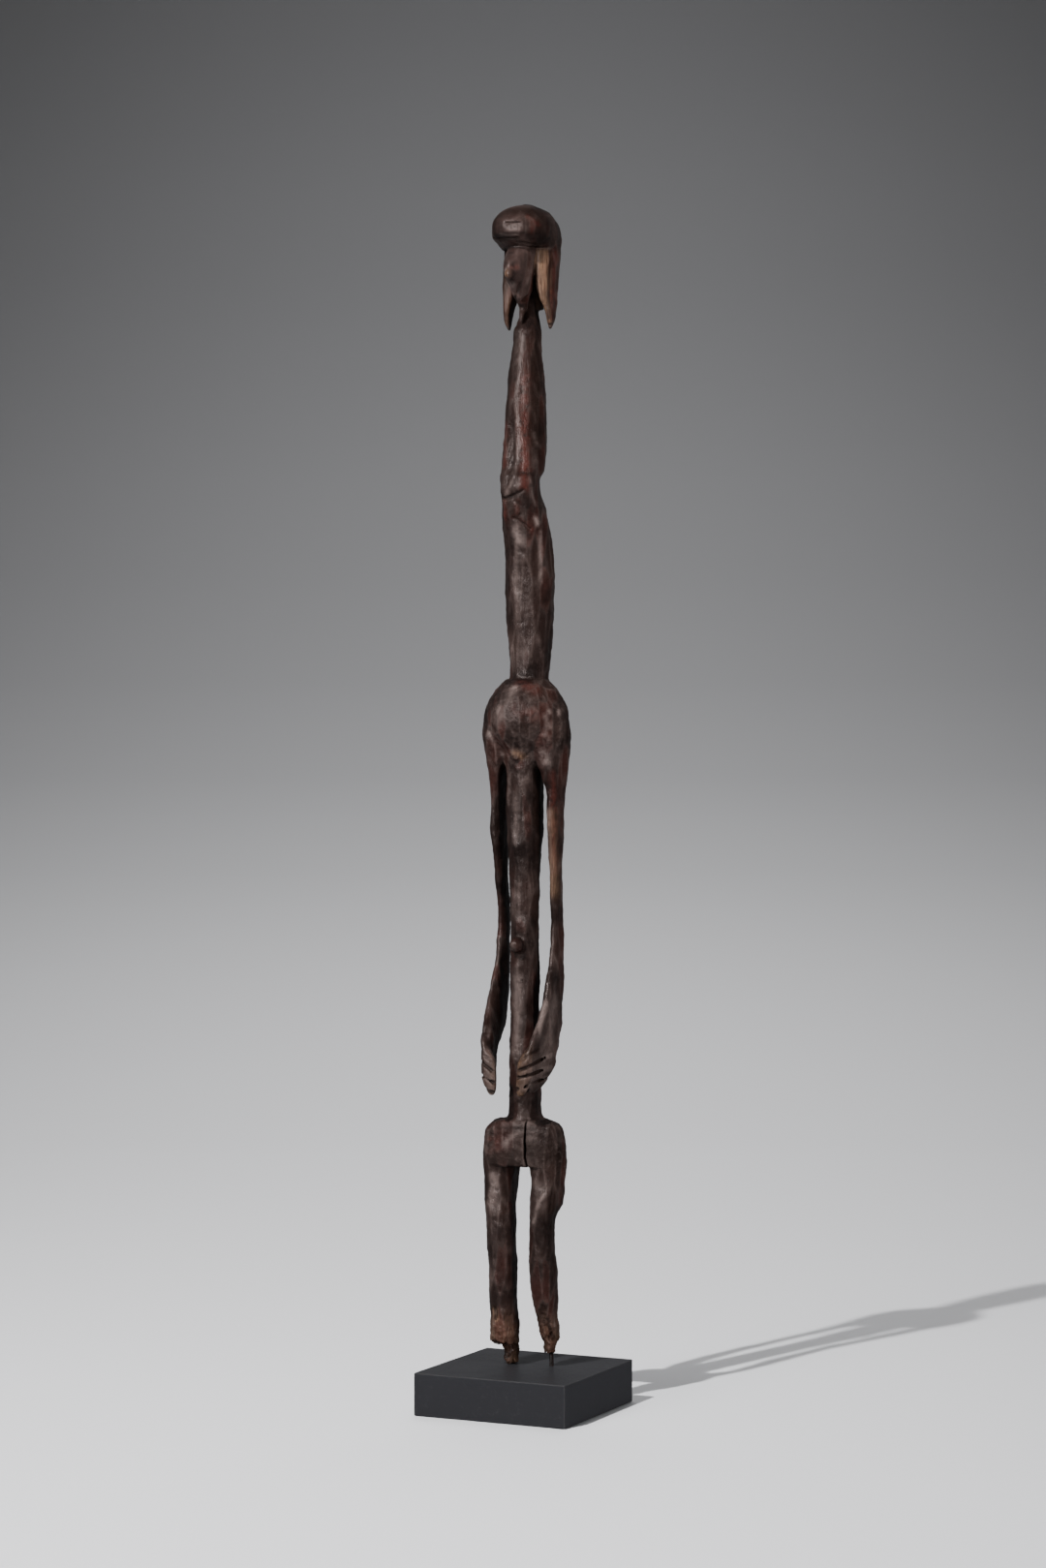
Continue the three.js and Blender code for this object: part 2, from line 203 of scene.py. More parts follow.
FLAP_FACE = [
    (1058, 15, 2.5, 9, 4.5, 3, 30),
    (1029, 16.6, 3.5, 7, 4.5, 3, 30),
    (1014, 18.2, 5, 5, 4.5, 3, 28),
    (1000, 20.5, 8, 3, 4, 3, 25),
    (990, 21.6, 10, 2, 3, 3, 25),
]
ARM_WEB = [
    (612, 21, -6, 10, 12),
    (596, 21.5, -6, 7.5, 9),
    (585, 24, -4.5, 6, 8),
    (571, 26, -3, 4, 6),
    (562, 27.4, -1, 2.4, 4),
]
TRUNK = [
    (612, 0, 0, 15, 15),
    (580, 0, 1, 16, 15.8, 2.3),
    (528, 0, 1, 15.6, 16, 2.3),
    (507, 0, 1, 14.4, 15.4, 2.3),
    (475, 0, 1, 13, 14.2, 2.3),
    (433, 0, 1, 12.5, 13.6, 2.3),
    (412, 0, 1, 13, 14, 2.3),
    (348, 0, 1.2, 13, 14.2, 2.3),
    (306, 0, 1.6, 14, 15, 2.3),
    (284, 0, 1.8, 14.1, 15.2, 2.3),
    (270, 0, 1.8, 14.2, 15.2, 2.3),
    (HIP_TOP - 1, 0, 1.6, 17, 16.6, 2.3),
    (256, 0, 1, 18, 17, 2.3),
]
HIPS = [
    (HIP_TOP, 0, 0.2, 23, 14.6, 2.6),
    (262.6, 0, 0.2, 28.6, 17.4, 2.8),
    (257.5, 0.5, 0.4, 34.2, 19, 3),
    (253, 0.2, 0.6, 36.2, 19.6, 3.2),
    (242, 0, 0.8, 38, 20.2, 3.2),
    (231, 0, 0.6, 38.6, 20.4, 3.2),
    (CROTCH + 2, 0, 1, 38.2, 20, 3.2),
    (CROTCH, 0, 1, 37.4, 19.2, 3.2),
]
HIP_CRACK = [
    (HIP_TOP + 2, 9.3, -20, 0.5, 7),
    (254, 9.5, -20, 0.8, 8),
    (247, 9.1, -20, 0.9, 9),
    (240, 9.8, -20, 1.1, 10),
    (233, 9.6, -20, 0.8, 10),
    (228, 10.4, -20, 1.0, 10),
    (CROTCH - 3, 12.6, -20, 1.4, 10),
]
THIGH = [
    (228, 23, 1.2, 15.4, 17.4, 3),
    (217, 23.6, 1.2, 14.4, 17, 3),
    (210, 23.8, 1, 13.6, 16.8, 3),
    (199, 23.5, -0.4, 13.4, 16.4, 3),
    (189, 22.8, -2.2, 13.2, 15.4, 2.8),
]
LEFT_LEG = THIGH + [
    (KNEE + 5, 21.1, -5.2, 11.4, 12.8, 2.7),
    (KNEE - 5, 20.6, -5.9, 11.1, 11.9, 2.6),
    (147, 20.4, -5, 11.1, 12, 2.6),
    (125, 20, -2.6, 11.5, 13, 2.8),
    (104, 20.2, 0, 10.7, 12.4, 2.6),
    (93, 20.5, 2.1, 9.3, 11.6, 2.5),
    (83, 20.8, 4.9, 8.9, 11.2, 2.4),
    (72, 21.2, 8.4, 9, 10.8, 2.4),
    (62, 22, 9.6, 7.2, 8.8, 2.3),
    (LEFT_STUMP, 21, 9.4, 4.6, 6),
]
# The right leg's rows are written for the left side, and mirrored.
RIGHT_LEG = THIGH + [
    (KNEE + 5, 21.1, -5.2, 12.7, 14.4, 2.7),
    (KNEE - 5, 20.7, -5.9, 12.8, 13.6, 2.6),
    (147, 20.5, -5, 12.3, 13.3, 2.6),
    (125, 20.1, -2.6, 11.8, 13.4, 2.8),
    (104, 19.9, -2.2, 11.8, 13.4, 2.8),
    (72, 19.6, -1.2, 12, 13.6, 2.8),
    (62, 19.4, -0.8, 12.1, 13.6, 2.8),
    (58.5, 19, 1, 11, 12, 2.6),
]
RIGHT_HEEL = [
    (80, 18.6, 4, 9.2, 8, 2.4),
    (62, 17.6, 6, 8.8, 8, 2.4),
    (50, 16.4, 6.6, 7.3, 7.4, 2.3),
    (RIGHT_STUMP + 4, 15.8, 7, 6.3, 6.6, 2.2),
    (RIGHT_STUMP, 15.4, 7.2, 5, 5.2, 2.2),
]

# The hand: each groove has a height at each point of the plan, which runs round the hand to its front.
GROOVE_PLAN = [(30.4, -12), (28.6, -30), (24.2, -41), (9.6, -41)]
LEFT_GROOVES = [(None, 331, 326.4, 319.5), (325, 320.5, 316.3, 310.3), (313.8, 311, 308.4, 304.5),
                (305.5, 302, 299, 294)]
RIGHT_GROOVES = [(None, 331, 327, 318), (323, 320.5, 318.3, 307.9), (311, 308.5, 306.5, 298.3),
                 (300, 297.5, 296, 289)]
# How far each lower groove is moved in and back
GROOVE_INSET = 0.7
GROOVE_BACKSET = 0.5
# A groove's radius where it starts, on the left hand (1) and the right (-1), and where it ends
GROOVE_STARTS = {1: 1.2, -1: 0.6}
GROOVE_END = 1.6


# Strokes of colour on the wood: which mask, the table they lie on and its side. Each stroke has half its
# width in millimetres, its strength, and its path in the photograph's pixels as across, down and so on.
# Most light strokes paint highlights and a few are pale worn spots. Most dark strokes paint shade, and one
# red stroke paints the shadow under the jaw.
STROKES = [
    ("ruddy_and_shade", CAP, 1, [
        (3, 1, 545, 224, 549, 229, 555, 231), (3, 0.7, 550, 234, 549, 240), (2, 0.8, 528, 250, 530, 252)]),
    ("shade_and_dirt", CAP, 1, [
        (9, 1, 517, 222, 535, 218, 550, 218), (6, 1, 513, 226, 512, 243),
        (12, 0.6, 512, 234, 520, 222, 540, 218, 558, 224), (1.5, 0.8, 510, 246, 522, 245.5, 534, 245),
        (1.3, 0.7, 535, 256, 545, 258.5, 553, 260.5)]),
    ("pale_and_highlight", CAP, 1, [
        (1.4, 0.9, 517, 241.5, 534, 242.5), (3, 0.4, 525, 231, 534, 232), (3, 0.4, 524, 238, 536, 238)]),
    # The second red stroke on the face paints the shadow under the jaw.
    ("ruddy_and_shade", FACE, 1, [
        (3, 0.8, 527, 276, 534, 276), (4, 1, 551, 301, 545, 308, 540, 312)]),
    ("shade_and_dirt", FACE, 1, [
        (4, 1, 540, 316, 541, 323, 540, 331)]),
    ("pale_and_highlight", FACE, 1, [
        (3, 1, 523, 279, 523, 285), (3, 0.6, 524, 295, 530, 294), (3, 0.4, 546, 280, 544, 292)]),
    ("shade_and_dirt", SIDE_FLAP, 1, [
        (1.6, 0.8, 562, 262, 561, 270), (1.8, 0.7, 569, 268, 569, 298),
        (1.4, 0.9, 557, 284, 558, 300, 560, 308)]),
    ("ruddy_and_shade", SIDE_FLAP, 1, [
        (2, 0.8, 569, 300, 568, 330), (4, 0.5, 573, 262, 573, 318)]),
    ("ruddy_and_shade", FLAP_FACE, 1, [
        (1.6, 0.7, 563, 275, 562, 296)]),
    ("shade_and_dirt", FLAP_FACE, 1, [
        (1.2, 0.7, 559, 262, 558, 272), (2, 0.9, 566, 276, 566, 308, 567, 328)]),
    ("ruddy_and_shade", NECK, 1, [
        (5, 1, 543, 388, 542, 430, 543, 470, 542, 502), (4, 0.8, 522, 440, 521, 480),
        (3, 0.9, 521, 516, 521, 535), (3, 0.6, 534, 518, 535, 532), (2, 1, 530, 535, 540, 540, 548, 547)]),
    ("shade_and_dirt", NECK, 1, [
        (5, 0.9, 553, 350, 555, 420, 557, 470), (4, 1, 532, 340, 529, 375, 526, 400, 524, 425),
        (6, 0.8, 549, 345, 549, 400, 551, 470), (2, 1, 530, 514, 536, 511, 541, 508),
        (2, 1, 531, 537, 538, 540, 546, 547)]),
    ("pale_and_highlight", NECK, 1, [
        (5, 0.8, 533, 547, 536, 558), (2.2, 0.15, 538, 345, 536, 375, 534, 410, 534, 478),
        (2, 0.5, 533, 482, 528, 498, 523, 511), (1.8, 0.5, 551, 448, 553, 456, 558, 462),
        (1.8, 0.4, 547, 494, 549, 512, 553, 521), (2.2, 0.9, 553, 536, 555, 541),
        (2.4, 0.35, 533, 562, 532, 600, 534, 640), (2, 0.6, 558, 550, 559, 600)]),
    ("bare_and_highlight", CHEST_POINT, 1, [
        (3, 0.35, 531, 778, 539, 780, 546, 780), (1.4, 0.7, 538, 781, 541, 785)]),
    ("ruddy_and_shade", CHEST_POINT, 1, [
        (3, 1, 544, 784, 538, 790, 533, 788)]),
    ("ruddy_and_shade", YOKE, 1, [
        (6, 1, 535, 735, 550, 738), (6, 0.7, 537, 708, 552, 713), (4, 0.6, 513, 725, 515, 735),
        (3, 0.9, 561, 759, 558, 768, 566, 775)]),
    ("pale_and_highlight", YOKE, 1, [
        (5, 1.4, 532, 714, 527, 726, 522, 740), (6, 1.8, 519, 735, 521, 741),
        (3, 0.6, 532, 727, 546, 725), (1.8, 0.8, 536, 744, 538, 752), (3, 0.4, 563, 740, 567, 750),
        (1.6, 0.8, 567, 734, 568, 736), (1.6, 0.8, 577, 734, 577, 737),
        (1.8, 0.8, 505, 757, 509, 765, 513, 772, 519, 779)]),
    ("shade_and_dirt", YOKE, 1, [
        (2.2, 1, 532, 746, 533, 751)]),
    ("pale_and_highlight", ARM, -1, [
        (1.8, 0.8, 505, 757, 509, 765, 513, 772, 519, 779), (2, 0.4, 508, 1030, 504, 1070)]),
    ("pale_and_highlight", ARM, 1, [
        (3, 0.7, 561, 777, 565, 787), (1.6, 0.9, 552, 774, 556, 788, 562, 806, 564, 822),
        (4, 0.6, 565, 840, 566, 900), (3.4, 0.9, 564, 1035, 557, 1060, 547, 1084),
        (9, 0.35, 572, 1035, 567, 1070, 558, 1105)]),
    ("bare_and_highlight", ARM, 1, [
        (6, 0.4, 569, 842, 570, 880, 570, 920)]),
    ("ruddy_and_shade", ARM, 1, [
        (4, 0.7, 571, 800, 572, 850, 573, 900)]),
    ("pale_and_highlight", BENT_FINGERS, 1, [
        (6, 0.35, 552, 1098, 550, 1120)]),
    ("pale_and_highlight", BENT_FINGERS, -1, [
        (5, 0.4, 506, 1088, 506, 1124)]),
    ("pale_and_highlight", TRUNK, 1, [
        (2, 0.35, 526, 800, 525, 830), (2.2, 0.35, 532, 825, 532, 870), (5, 0.6, 534, 1010, 533, 1085)]),
    ("shade_and_dirt", TRUNK, 1, [
        (5, 0.6, 553, 790, 553, 850)]),
    ("shade_and_dirt", HIPS, 1, [
        (1.3, 0.8, 512, 1165, 530, 1164.5, 556, 1166), (9, 0.95, 508, 1195, 536, 1192),
        (10, 0.95, 549, 1188, 575, 1190)]),
    ("ruddy_and_shade", HIPS, 1, [
        (4, 0.6, 506, 1190, 516, 1186), (3, 0.5, 505, 1176, 514, 1178, 508, 1186)]),
    ("pale_and_highlight", HIPS, 1, [
        (2.6, 0.6, 521, 1181, 528, 1174, 536, 1170), (2.4, 0.4, 546, 1176, 551, 1174),
        (2, 0.35, 531, 1160, 552, 1160)]),
    ("pale_and_highlight", RIGHT_LEG, -1, [
        (4, 0.6, 508, 1214, 511, 1225, 508, 1240), (1.8, 0.9, 524, 1400, 526, 1405)]),
    ("pale_and_highlight", LEFT_LEG, 1, [
        (4, 0.45, 556, 1225, 561, 1226), (1.8, 0.7, 562, 1233, 556, 1243, 551, 1262),
        (1.5, 0.8, 573, 1367, 573, 1369)]),
    ("shade_and_dirt", LEFT_LEG, 1, [
        (2, 0.8, 571, 1230, 571, 1250)]),
    ("bare_and_highlight", RIGHT_LEG, -1, [
        (2.6, 0.8, 511, 1353, 512, 1362)]),
    ("ruddy_and_shade", RIGHT_LEG, -1, [
        (8, 0.5, 518, 1368, 522, 1392)]),
    ("ruddy_and_shade", LEFT_LEG, 1, [
        (7, 0.4, 560, 1372, 570, 1390)]),
]

# The field's greatest value, and how far round a form its field is worked out, in millimetres
FAR = 12.0
ADD_MARGIN = 4
CUT_MARGIN = 1


# The carving as a field: below nought inside the wood
def full_rows(rows, side):
    """Rows from the bottom up, with squareness and turn filled in. Side -1 mirrors them."""
    filled = [list(row) + [2.0, 0.0][len(row) - 5:] for row in rows]
    table = np.array(filled[::-1], dtype=float)
    table[:, 1] *= side
    table[:, 6] *= side
    return table


def between(table, heights):
    """A table's columns at the given heights, on a monotone cubic, so no form bulges past its sizes."""
    spans = np.diff(table[:, 0])
    rises = np.diff(table[:, 1:], axis=0) / spans[:, None]
    slopes = np.vstack([rises[:1], np.zeros_like(rises[1:]), rises[-1:]])
    product = rises[:-1] * rises[1:]
    total = np.where(product > 0, rises[:-1] + rises[1:], 1)
    slopes[1:-1] = np.where(product > 0, 2 * product / total, 0)
    heights = np.clip(heights, table[0, 0], table[-1, 0])
    row = np.clip(np.searchsorted(table[:, 0], heights, side="right") - 1, 0, len(table) - 2)
    span = spans[row][:, None]
    t = (heights - table[row, 0])[:, None] / span
    return (
        table[row, 1:] * (1 + 2 * t) * (1 - t) ** 2
        + slopes[row] * span * t * (1 - t) ** 2
        + table[row + 1, 1:] * t * t * (3 - 2 * t)
        + slopes[row + 1] * span * t * t * (t - 1)
    )


class Form:
    """A stack of rounded sections."""

    def __init__(self, rows, side=1):
        self.table = full_rows(rows, side)

    def reach(self):
        half = np.hypot(self.table[:, 3], self.table[:, 4])
        half = np.where(self.table[:, 6] == 0, np.maximum(self.table[:, 3], self.table[:, 4]), half)
        low = [(self.table[:, axis] - half).min() for axis in (1, 2)] + [self.table[0, 0]]
        high = [(self.table[:, axis] + half).max() for axis in (1, 2)] + [self.table[-1, 0]]
        return np.array(low), np.array(high)

    def distance(self, x, y, z):
        heights = z.ravel()
        columns = between(self.table, heights).astype(np.float32)
        mid_x, mid_y, wide, deep, square, turn = (column[:, None, None] for column in columns.T)
        turn = np.radians(turn)
        away_x = x - mid_x
        away_y = y - mid_y
        u = np.maximum(np.abs(away_x * np.cos(turn) + away_y * np.sin(turn)) / wide, 1e-3)
        v = np.maximum(np.abs(away_y * np.cos(turn) - away_x * np.sin(turn)) / deep, 1e-3)
        u_less = u ** (square - 1)
        v_less = v ** (square - 1)
        p = (u_less * u + v_less * v) ** (1 / square)
        steep = np.hypot(u_less / wide, v_less / deep) * p ** (1 - square)
        size = (columns[:, 2] + columns[:, 3]) / 2
        lean = np.gradient(size, heights)[:, None, None] if len(heights) > 1 else 0
        flat = (p - 1) / (steep * np.sqrt(1 + lean ** 2))
        ends = np.maximum(z - self.table[-1, 0], self.table[0, 0] - z)
        return np.maximum(flat, ends)

    def rim(self, height, angles):
        """Points of the section's outline at a height. Angle 0 faces front, and more turns to +X."""
        mid_x, mid_y, wide, deep, square, turn = between(self.table, np.array([height]))[0]
        across = np.sin(angles)
        ahead = -np.cos(angles)
        own_x = wide * np.sign(across) * np.abs(across) ** (2 / square)
        own_y = deep * np.sign(ahead) * np.abs(ahead) ** (2 / square)
        turn = math.radians(turn)
        points_x = mid_x + own_x * math.cos(turn) - own_y * math.sin(turn)
        points_y = mid_y + own_x * math.sin(turn) + own_y * math.cos(turn)
        return np.stack([points_x, points_y, np.full_like(points_x, height)], axis=-1)


class Lump:
    """An oval lump or hollow. Side -1 mirrors it."""

    def __init__(self, middle, halves, side=1):
        self.middle = np.array(middle, dtype=float) * (side, 1, 1)
        self.halves = np.array(halves, dtype=float)

    def reach(self):
        return self.middle - self.halves, self.middle + self.halves

    def distance(self, x, y, z):
        near = 0
        steep = 0
        for grid, middle, half in zip((x, y, z), self.middle, self.halves):
            near = near + ((grid - middle) / half) ** 2
            steep = steep + ((grid - middle) / half ** 2) ** 2
        near = np.sqrt(near)
        return near * (near - 1) / np.maximum(np.sqrt(steep), 1e-6)


class Cord:
    """A round bar along a line of points, with a radius at each point."""

    def __init__(self, points, radii):
        self.points = np.array(points, dtype=float)
        self.radii = np.broadcast_to(np.array(radii, dtype=float), (len(self.points),))

    def reach(self):
        most = self.radii.max()
        return self.points.min(axis=0) - most, self.points.max(axis=0) + most

    def distance(self, x, y, z):
        least = None
        for start, end, thick, thin in zip(self.points, self.points[1:], self.radii, self.radii[1:]):
            along = end - start
            reach = (x - start[0]) * along[0] + (y - start[1]) * along[1] + (z - start[2]) * along[2]
            t = np.clip(reach / (along @ along), 0, 1)
            square = (x - start[0] - along[0] * t) ** 2 + (y - start[1] - along[1] * t) ** 2
            away = np.sqrt(square + (z - start[2] - along[2] * t) ** 2) - (thick + (thin - thick) * t)
            least = away if least is None else np.minimum(least, away)
        return least


class Flat:
    """A plane that cuts off what lies beyond it, near one place."""

    def __init__(self, point, normal, reach):
        self.point = np.array(point, dtype=float)
        self.normal = np.array(normal, dtype=float) / np.linalg.norm(normal)
        self.span = reach

    def reach(self):
        return self.point - self.span, self.point + self.span

    def distance(self, x, y, z):
        away = [(grid - middle) * lean for grid, middle, lean in zip((x, y, z), self.point, self.normal)]
        return -(away[0] + away[1] + away[2])


def soft_least(a, b, blend):
    """The lesser of two fields, with the crease between them filled over a width."""
    overlap = np.maximum(blend - np.abs(a - b), 0) / blend
    return np.minimum(a, b) - overlap * overlap * blend / 4


class Wood:
    """The field on a grid of lines, which lie closer together where the carving is finer."""

    def __init__(self, lines):
        self.lines = [axis.astype(np.float32) for axis in lines]
        x, y, z = self.lines
        self.field = np.full((len(z), len(y), len(x)), FAR, dtype=np.float32)
        self.creases = []

    def window(self, shape, margin):
        low, high = shape.reach()
        cuts = []
        for axis, least, most in zip(self.lines, low - margin, high + margin):
            cuts.append(slice(np.searchsorted(axis, least), np.searchsorted(axis, most)))
        x, y, z = (axis[cut] for axis, cut in zip(self.lines, cuts))
        return (cuts[2], cuts[1], cuts[0]), x[None, None, :], y[None, :, None], z[:, None, None]

    def add(self, shape, blend):
        place, x, y, z = self.window(shape, blend + ADD_MARGIN)
        away = np.clip(shape.distance(x, y, z), -FAR, FAR)
        self.field[place] = soft_least(self.field[place], away, blend)

    def cut(self, shape, blend):
        place, x, y, z = self.window(shape, 0 if isinstance(shape, Flat) else blend + CUT_MARGIN)
        away = np.clip(shape.distance(x, y, z), -FAR, FAR)
        self.field[place] = -soft_least(-self.field[place], away, blend)

    def sample(self, points):
        """The field at points in millimetres."""
        spots = [np.interp(points[:, axis], self.lines[axis], np.arange(len(self.lines[axis])))
                 for axis in range(3)]
        whole = [np.clip(spot.astype(int), 0, len(axis) - 2) for spot, axis in zip(spots, self.lines)]
        part = [spot - start for spot, start in zip(spots, whole)]
        value = 0
        for corner in range(8):
            step = [(corner >> axis) & 1 for axis in range(3)]
            weight = 1
            for axis in range(3):
                weight = weight * (part[axis] if step[axis] else 1 - part[axis])
            value = value + weight * self.field[
                whole[2] + step[2], whole[1] + step[1], whole[0] + step[0]]
        return value

    def slope(self, points, step=0.6):
        """The direction in which the field grows."""
        grown = []
        for axis in range(3):
            shift = np.zeros(3)
            shift[axis] = step
            grown.append(self.sample(points + shift) - self.sample(points - shift))
        return np.stack(grown, axis=-1) / (2 * step)


def skin(wood):
    """The field's surface as (points, four-sided faces): one point in each cell that it crosses."""
    field = wood.field
    inside = field < 0
    cell_shape = tuple(size - 1 for size in field.shape)
    corners = np.zeros(cell_shape, dtype=np.uint8)
    for shift in itertools.product((0, 1), repeat=3):
        corners += inside[tuple(slice(start, start + size) for start, size in zip(shift, cell_shape))]
    cells = np.argwhere((corners > 0) & (corners < 8))
    number = np.full(cell_shape, -1, dtype=np.int64)
    number[tuple(cells.T)] = np.arange(len(cells))

    total = np.zeros((len(cells), 3))
    crossings = np.zeros(len(cells))
    for axis in range(3):
        others = [other for other in range(3) if other != axis]
        for shift in itertools.product((0, 1), repeat=2):
            start = cells.copy()
            start[:, others] += shift
            end = start.copy()
            end[:, axis] += 1
            a = field[tuple(start.T)]
            b = field[tuple(end.T)]
            crossed = (a < 0) != (b < 0)
            t = np.where(crossed, a / np.where(crossed, a - b, 1), 0)
            place = [line[start[:, order]] * (1 - t) + line[end[:, order]] * t
                     for line, order in zip(wood.lines, (2, 1, 0))]
            total += np.stack(place, axis=-1) * crossed[:, None]
            crossings += crossed
    points = total / crossings[:, None]

    faces = []
    for axis in range(3):
        near = [slice(None)] * 3
        far = [slice(None)] * 3
        near[axis] = slice(None, -1)
        far[axis] = slice(1, None)
        edges = np.argwhere(inside[tuple(near)] != inside[tuple(far)])
        others = [other for other in range(3) if other != axis]
        limits = np.array(cell_shape)[others]
        spots = edges[:, others]
        edges = edges[((spots > 0) & (spots < limits)).all(axis=1)]
        ring = []
        for back in ((1, 1), (0, 1), (0, 0), (1, 0)):
            cell = edges.copy()
            cell[:, others] -= back
            ring.append(number[tuple(cell.T)])
        ring = np.stack(ring, axis=-1)
        leaves = inside[tuple(edges.T)]
        if axis != 1:
            leaves = ~leaves
        faces.append(np.where(leaves[:, None], ring, ring[:, ::-1]))
    return points, np.concatenate(faces)


# The least squared slope of the field that a step back onto the surface is divided by
FLATTEST = 0.2


def settled(wood, points, faces, rounds=2):
    """Evens the points out along the surface, and draws them back onto it."""
    for _ in range(rounds):
        total = np.zeros_like(points)
        count = np.zeros(len(points))
        for corner in range(4):
            for step in (1, 3):
                np.add.at(total, faces[:, corner], points[faces[:, (corner + step) % 4]])
                np.add.at(count, faces[:, corner], 1)
        points = 0.5 * points + 0.5 * total / count[:, None]
        for _ in range(2):
            slope = wood.slope(points)
            steep = np.maximum((slope ** 2).sum(axis=1), FLATTEST)
            points = points - slope * np.clip(wood.sample(points) / steep, -1, 1)[:, None]
    return points


# Places on the carving
OUTLINE_ANGLES = np.linspace(-math.pi, math.pi, 1441)
BEHIND_COST = 1000


def marks(form, pixels, out):
    """Points on a form's near side that the photograph shows at these pixels, moved out by so much."""
    points = []
    for across_px, down_px in pixels:
        away = 1.0
        for _ in range(4):
            camera = CAMERA_HEIGHT / MM
            height = camera + (PHOTO_FOOT - PHOTO_SCALE * down_px - camera) * away
            across = (across_px - PHOTO_AXIS) * PHOTO_SCALE * away
            rim = form.rim(height, OUTLINE_ANGLES)
            seen = rim[:, 0] * math.cos(CAMERA_TURN) + rim[:, 1] * math.sin(CAMERA_TURN)
            depth = rim[:, 1] * math.cos(CAMERA_TURN) - rim[:, 0] * math.sin(CAMERA_TURN)
            behind = depth > (depth.min() + depth.max()) / 2
            best = np.argmin(np.abs(seen - across) + behind * BEHIND_COST)
            away = 1 + depth[best] * MM / CAMERA_REACH
        middle = between(form.table, np.array([height]))[0][:2]
        outward = rim[best, :2] - middle
        outward = outward / np.linalg.norm(outward)
        points.append([*(rim[best, :2] + outward * out), height])
    return points


# Paths of grooves and ridges in the photograph's pixels, as (across, down)
CHEEK_LINE = [(537, 293), (535, 299), (532, 306), (531, 311)]
JAW_HOLLOW = [(551.5, 300), (547, 305.5), (541, 311)]
RIGHT_BRIM_LINE = [(509, 246), (520, 246.5), (534, 246)]
LEFT_BRIM_LINE = [(534, 250), (542, 251), (552, 252.5)]
NECK_EDGE = [(539, 337), (538, 360), (536, 388), (534.5, 405), (535.5, 440), (535, 478)]
FOLD_EDGE = [(534, 480), (530, 493), (524.5, 510)]
FOLD_LINE = [(517.8, 513), (523, 515), (529, 513), (534, 510), (540, 506.5)]
FOLD_CURL = [(532, 517), (537, 523), (538, 530), (532, 536)]
FOLD_FOOT = [(530, 535), (536, 538), (541, 541.5), (547, 546.5)]
THIGH_GROOVE = [(571, 1226), (570, 1238), (567.5, 1251)]
KNEE_EDGE = [(564, 1232), (558, 1246), (552, 1262)]
SHIN_NOTCH = [(511, 1351), (512, 1356), (511, 1361)]
RIGHT_FOOT_LINE = [(505, 1384.5), (511, 1386), (518, 1390)]
LEFT_FOOT_LINE = [(566, 1362), (568, 1372), (571, 1384)]

# Lumps and hollows in millimetres: the middle, and half the size along each axis
NOSE = (0, -29, 1037), (3.6, 5.4, 10)
NOSE_TIP = (0, -32.4, 1031.6), (3.8, 4.2, 4.6)
EYE = (7.4, -31.4, 1039), (3.6, 3, 2.6)
BREAST = (0, -4, 630), (31.6, 28, 33)
NAVEL_KNOB = (0, -16.6, NAVEL), (6.4, 6.4, 7.4)
NAVEL_HOLE = (0, -23.6, NAVEL), (1.7, 1.6, 1.7)

# Flat cuts: a place on each, the way it faces, and how far round the place it cuts
BRIM_FLAT = (7.2, -34.9, 1065.6), (0.29, -0.955, 0.06), 12
CAP_FLAT = (24.5, -17, 1084), (0.75, -0.42, 0.5), 15


def groove(wood, form, pixels, radius, depth, blend=0.8):
    """Cuts a groove so deep into a form, along places in the photograph."""
    wood.cut(Cord(marks(form, pixels, radius - depth), radius), blend)
    wood.creases.append(Cord(marks(form, pixels, -0.4 * depth), 0.5 * radius))


def ridge(wood, form, pixels, radius, height, blend=1.5):
    """Raises a ridge so high on a form, along places in the photograph."""
    wood.add(Cord(marks(form, pixels, height - radius), radius), blend)


def carve_head(wood):
    cap = Form(CAP)
    face = Form(FACE)
    wood.add(face, blend=1.5)
    wood.add(Lump(*NOSE), blend=2.5)
    wood.add(Lump(*NOSE_TIP), blend=1.8)
    groove(wood, face, CHEEK_LINE, radius=1.2, depth=0.9)
    groove(wood, face, JAW_HOLLOW, radius=3, depth=2)
    for side in (1, -1):
        wood.cut(Lump(*EYE, side), blend=2)
        wood.add(Form(SIDE_FLAP, side), blend=1.5)
    wood.add(Form(FLAP_FACE), blend=1)
    wood.add(Form(NAPE), blend=3)
    wood.add(cap, blend=1.4)
    wood.cut(Flat(*BRIM_FLAT), blend=0.4)
    wood.cut(Flat(*CAP_FLAT), blend=1)
    groove(wood, cap, RIGHT_BRIM_LINE, radius=1.2, depth=0.9, blend=0.5)
    groove(wood, cap, LEFT_BRIM_LINE, radius=1.1, depth=0.6)


def carve_neck(wood):
    neck = Form(NECK)
    wood.add(neck, blend=2)
    ridge(wood, neck, FOLD_EDGE, radius=3, height=0.9, blend=2.5)
    ridge(wood, neck, NECK_EDGE, radius=3, height=0.7, blend=3)
    groove(wood, neck, FOLD_LINE, radius=1.9, depth=1.4)
    groove(wood, neck, FOLD_CURL, radius=1.4, depth=0.7)
    groove(wood, neck, FOLD_FOOT, radius=1.5, depth=1.2)


def carve_shoulders(wood):
    wood.add(Form(YOKE), blend=3)
    wood.add(Lump(*BREAST), blend=2)
    wood.add(Form(CHEST_POINT), blend=1.6)
    wood.add(Form(TRUNK), blend=2.2)
    wood.add(Lump(*NAVEL_KNOB), blend=1.6)
    wood.cut(Lump(*NAVEL_HOLE), blend=0.8)


